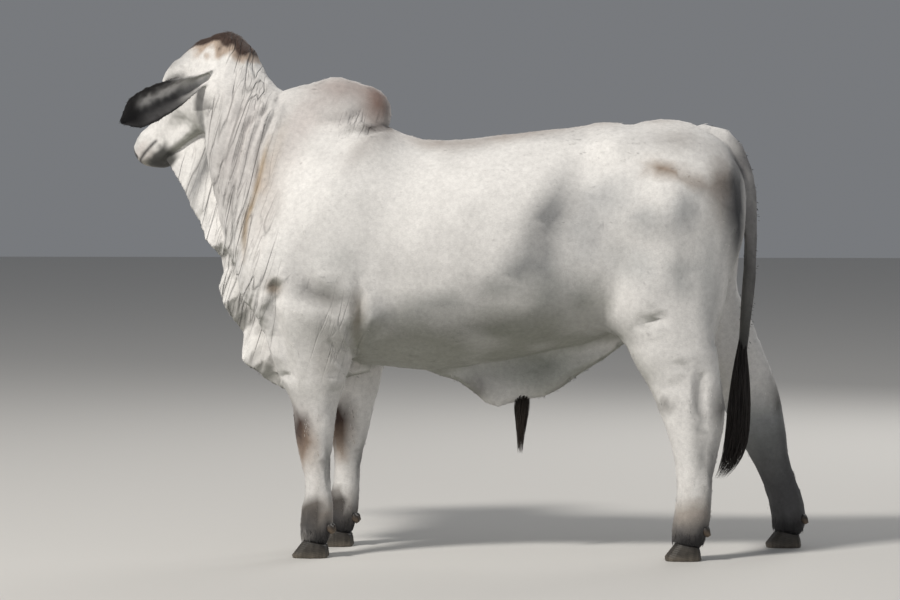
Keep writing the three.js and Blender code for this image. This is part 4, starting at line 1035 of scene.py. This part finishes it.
# Hair: one tapered three-sided tuft, laid thousands of times along the coat
def tuftShape(levels):
    bm = bmesh.new()
    bmesh.ops.create_cone(bm, cap_ends=True, segments=3, radius1=1, radius2=0, depth=1)
    bmesh.ops.translate(bm, verts=bm.verts, vec=(0, 0, 0.5))
    for number in range(1, levels - 1):
        cutAt(bm, (0, 0, number / (levels - 1)), (0, 0, 1))
    bmesh.ops.remove_doubles(bm, verts=bm.verts, dist=0.001)
    bmesh.ops.triangulate(bm, faces=bm.faces)
    bm.verts.index_update()
    points = np.array([vert.co[:] for vert in bm.verts])
    faces = np.array([[vert.index for vert in face.verts] for face in bm.faces])
    bm.free()
    level = np.rint(points[:, 2] * (levels - 1)).astype(np.int64)
    ring = points[:, :2] / np.maximum(1 - points[:, 2], 0.001)[:, None]
    ring[level == levels - 1] = 0
    return level, ring, faces


patchSet = dict(low=(-1100, -500, 0), span=2300, columns=4, rows=3, margin=0.04, inner=0.92)


def bakePatch(place, normals):
    # each root's place on a box unwrap of the hide, near and far sides apart
    face = np.argmax(np.abs(normals), axis=1)
    sign = (normals[np.arange(len(normals)), face] > 0).astype(int)
    cell = face * 4 + sign * 2 + (place[:, 1] > 0)
    spot = (place - np.array(patchSet["low"])) / patchSet["span"]
    sideways = np.where((face == 1)[:, None], spot[:, ::2], spot[:, :2])
    flat = np.clip(np.where((face == 0)[:, None], spot[:, 1:], sideways), 0, 1)
    corner = np.stack([cell % patchSet["columns"], cell // patchSet["columns"]], axis=1)
    whole = corner + patchSet["margin"] + patchSet["inner"] * flat
    return whole / np.array([patchSet["columns"], patchSet["rows"]])


def layHair(label, paths, facing, widths, thickness, rootColours, tipColours, rootNormals, slot, nodes=()):
    # paths are in frame metres, one row of points for each tuft; widths and thickness in mm
    count, levels = paths.shape[:2]
    level, ring, faces = tuftShape(levels)
    run = np.gradient(paths, axis=1)
    run /= np.maximum(np.linalg.norm(run, axis=2), 1e-9)[:, :, None]
    across = np.cross(run, facing[:, None, :])
    across /= np.maximum(np.linalg.norm(across, axis=2), 1e-9)[:, :, None]
    lift = np.cross(across, run)
    t = level / (levels - 1)
    taper = np.sqrt(np.clip(1 - t ** 1.6, 0, 1)) * (0.72 + 0.28 * np.sin(math.pi * np.clip(t * 1.4, 0, 1)))
    points = paths[:, level]
    points = points + across[:, level] * (ring[:, 0] * taper)[None, :, None] * widths[:, None, None] / 1000
    points = points + lift[:, level] * (ring[:, 1] * taper)[None, :, None] * thickness[:, None, None] / 1000
    size = len(level)
    corners = (faces[None, :, ::-1] + (np.arange(count) * size)[:, None, None]).reshape(-1)
    mesh = bpy.data.meshes.new(label)
    mesh.vertices.add(count * size)
    mesh.vertices.foreach_set("co", points.ravel())
    mesh.loops.add(len(corners))
    mesh.loops.foreach_set("vertex_index", corners.astype(np.int32))
    mesh.polygons.add(len(corners) // 3)
    mesh.polygons.foreach_set("loop_start", np.arange(0, len(corners), 3, dtype=np.int32))
    mesh.update(calc_edges=True)
    colours = rootColours[:, None] * (1 - t)[None, :, None] + tipColours[:, None] * t[None, :, None]
    paint(mesh, np.clip(colours.reshape(-1, 3), 0.004, 0.9))
    patch = bakePatch(designPlace(paths[:, 0]), rootNormals)
    spread = 0.0015 * np.stack([ring[:, 0] * 0.9, 2 * t - 1], axis=1)
    corner = (patch[:, None] + spread[None]).reshape(-1, 2)[corners]
    layer = mesh.uv_layers.new(name="OFBake")
    layer.data.foreach_set("uv", corner.astype(np.float32).ravel())
    newPiece(mesh, label, coatMaterial if slot == "coat" else hairMaterial, nodes)
    if slot == "coat":
        # short coat takes the light of the hide that it lies on
        shading = normalsOf(mesh) * 0.3 + np.repeat(rootNormals, size, axis=0)
        mesh.normals_split_custom_set_from_vertices(shading / np.linalg.norm(shading, axis=1)[:, None])
    print(label, count, "tufts")


def hairAlong(line, roots, spread, starts, ends, levels, wave, generator):
    # curved locks that follow a line, each at its own place round it
    count = len(starts)
    t = starts[:, None] + (ends - starts)[:, None] * np.linspace(0, 1, levels)[None]
    knots = np.linspace(0, 1, len(line))
    centre = np.stack([np.interp(t, knots, line[:, axis]) for axis in range(3)], axis=2)
    girth = np.interp(t, np.linspace(0, 1, len(spread)), spread)
    angle = generator.uniform(0, 2 * math.pi, count)
    depth = np.sqrt(generator.uniform(0.05, 1, count))
    out = np.stack([np.cos(angle), np.sin(angle), np.zeros(count)], axis=1)
    away = girth * depth[:, None]
    away[:, 0] = np.minimum(away[:, 0], roots)
    pace = generator.uniform(5, 11, count)[:, None]
    swing = wave * np.sin(t * pace + generator.uniform(0, 6, count)[:, None])
    turned = np.stack([-np.sin(angle), np.cos(angle), np.zeros(count)], axis=1)
    return centre + out[:, None] * away[:, :, None] + turned[:, None] * swing[:, :, None] * t[:, :, None], out


# Tail switch and the tuft under the sheath
switchSet = dict(line=[(905, -8, 672), (901, -8, 600), (898, -8, 540), (894, -8, 450), (886, -8, 350),
                       (866, -8, 282), (836, -8, 232)],
                 spread=[11, 20, 28, 36, 37, 29, 16], count=1300, width=2.1, wave=11)
tuftSet = dict(line=[(224, 0, 492), (223, 0, 450), (221, 0, 400), (219, 0, 350), (218, 0, 306)],
               spread=[24, 25, 17, 10, 5], count=420, width=1.4, wave=8)


def makeHangingHair(label, values, node, seed, dark):
    generator = np.random.RandomState(seed)
    count = values["count"]
    starts = generator.uniform(0, 0.42, count) ** 1.2
    ends = np.clip(starts + generator.uniform(0.4, 0.75, count), 0, 1)
    line = roundedPath(values["line"])
    spread = values["spread"]
    paths, out = hairAlong(line, spread[0], spread, starts, ends, 7, values["wave"], generator)
    tone = np.array(dark) * generator.uniform(0.6, 1.5, count)[:, None]
    widths = values["width"] * generator.uniform(0.6, 1.3, count)
    layHair(label, framePlace(paths), out, widths, widths * 0.5, tone, tone * 1.5, out, "dark_hair", [node])


lashGenerator = np.random.RandomState(61)
lashes = [lashPaths(node, side, lashGenerator) for node, side in eyeSides]
lashRoots, lashFacing = (np.concatenate(rows) for rows in zip(*lashes))
lashTone = np.tile(np.array([0.02, 0.016, 0.014]), (len(lashRoots), 1))
lashWidth = np.full(len(lashRoots), 0.5)
layHair("lashes", lashRoots, lashFacing, lashWidth, lashWidth, lashTone, lashTone, lashFacing, "dark_hair")
makeHangingHair("tailSwitch", switchSet, "tail_switch", 41, (0.018, 0.015, 0.014))
makeHangingHair("sheathTuft", tuftSet, "sheath_tuft", 42, (0.026, 0.020, 0.016))

# Coat: short tufts that lie along the hide, denser and longer where it breaks the form
faceCentres = valuesOf(skinMesh.polygons, "center")
faceNormals = valuesOf(skinMesh.polygons, "normal")
faceAreas = valuesOf(skinMesh.polygons, "area", 1)[:, 0]
facePlaces = designPlace(faceCentres)
faceHeads = headPlace(facePlaces)
faceEars = earPlace(faceHeads)
isEar = (faceEars[:, 0] > 0.12) & nearEar(faceEars) & (fromSkull(faceHeads) > 112)
isHead = (faceHeads[:, 0] > -60) & (faceHeads[:, 2] > -135) & (np.abs(faceHeads[:, 1]) < 130) & ~isEar
isHead &= facePlaces[:, 0] < -600
isLeg = (facePlaces[:, 2] < 560) & ~((facePlaces[:, 0] < -500) & (facePlaces[:, 2] > 480)) & (
    (facePlaces[:, 0] < -250) | (facePlaces[:, 0] > 560)) & (np.abs(facePlaces[:, 1]) > 40)
isNeck = (facePlaces[:, 0] < -430) & ~isHead & ~isEar & ~isLeg
isTrunk = ~isHead & ~isEar & ~isLeg & ~isNeck


def flowAt(place, region):
    # which way the hair lies
    if region == "head":
        return np.tile(headTurn[0] - 0.25 * headTurn[2], (len(place), 1))
    if region == "ears":
        head = headPlace(place)
        turned = np.tile(earTurn[0], (len(place), 1))
        turned[:, 1] *= np.where(head[:, 1] < 0, -1, 1)
        return turned @ headTurn
    if region == "legs":
        return np.tile(np.array([0.15, 0, -1.0]), (len(place), 1))
    if region == "neck":
        return np.tile(np.array([0.55, 0, -0.85]), (len(place), 1))
    slope = -0.3 - 0.5 * smoothStep(-place[:, 2], -900, -560)
    return np.stack([np.ones(len(place)), np.zeros(len(place)), slope], axis=1)


def offFace(rows, normals):
    # the part of each row that lies in its face
    return rows - normals * np.sum(rows * normals, axis=1)[:, None]


def combedTufts(label, picked, count, region, length, width, lift, seed, density=1):
    count = count
    generator = np.random.RandomState(seed)
    share = faceAreas * picked * density
    chosen = generator.choice(len(share), count, p=share / share.sum())
    normals = faceNormals[chosen]
    spread = np.sqrt(faceAreas[chosen])[:, None] * generator.uniform(-0.6, 0.6, (count, 3))
    roots = faceCentres[chosen] + spread - normals * np.sum(spread * normals, axis=1)[:, None]
    place = designPlace(roots)
    flow = offFace(flowAt(place, region) + generator.normal(0, 0.16, (count, 3)), normals)
    flow /= np.maximum(np.linalg.norm(flow, axis=1), 1e-9)[:, None]
    reach = length(place) if callable(length) else np.full(count, float(length))
    reach = reach * generator.uniform(0.6, 1.25, count)
    rise = np.radians(lift) * generator.uniform(0.4, 1.5, count)
    run = flow * np.cos(rise)[:, None] + normals * np.sin(rise)[:, None]
    t = np.array([0, 0.5, 1.0])[None, :, None]
    paths = roots[:, None] - normals[:, None] * 0.0008 + run[:, None] * t * reach[:, None, None] / 1000
    sink = np.sin(rise) * reach * 0.55 / 1000
    paths -= normals[:, None] * t ** 2 * sink[:, None, None]
    colours = coatColour(place, normals) * generator.uniform(0.86, 1.12, count)[:, None]
    widths = width * generator.uniform(0.7, 1.3, count)
    layHair(label, paths, normals, widths, widths * 0.45, colours, colours * 1.06, normals, "coat")


def pollLength(place):
    head = headPlace(place)
    crown = stepDown(np.abs(head[:, 1]), 40, 75) * smoothStep(head[:, 2], 30, 60)
    return 8 + 15 * crown * stepDown(head[:, 0], 60, 150)


def edgeWeight():
    # where the form turns away: crest of the back and hump, buttocks, brisket and belly lines
    top = smoothStep(faceNormals[:, 2], 0.55, 0.9) * (facePlaces[:, 2] > 1150)
    keel = smoothStep(-faceNormals[:, 2], 0.5, 0.9) * (facePlaces[:, 2] > 420)
    return top + keel + 0.15


aboveHoof = isLeg & (facePlaces[:, 2] < 92) & (faceNormals[:, 2] > -0.6)
onPoll = (isHead | isNeck) & (faceHeads[:, 2] > 10) & (faceHeads[:, 0] < 160) & (faceHeads[:, 0] > -100)
coats = [
    dict(label="coatTrunk", picked=isTrunk, count=19000, region="trunk", length=10, width=1.1, lift=6,
         seed=51),
    dict(label="coatNeck", picked=isNeck, count=19000, region="neck", length=9, width=1.0, lift=6, seed=52),
    dict(label="coatHead", picked=isHead, count=19000, region="head", length=5, width=0.6, lift=6, seed=53),
    dict(label="coatEars", picked=isEar, count=12000, region="ears", length=8, width=0.7, lift=7, seed=54),
    dict(label="coatLegs", picked=isLeg, count=19000, region="legs", length=7, width=0.8, lift=6, seed=55),
    dict(label="coatEdges", picked=isTrunk | isNeck, count=17000, region="trunk", length=11, width=0.9,
         lift=11, seed=56, density=edgeWeight()),
    dict(label="coatCoronet", picked=aboveHoof, count=6000, region="legs", length=17, width=0.9, lift=8,
         seed=58),
    dict(label="coatPoll", picked=onPoll, count=9000, region="head", length=pollLength, width=0.9,
         lift=14, seed=57),
]
for coat in coats:
    combedTufts(**coat)
print("coat laid")
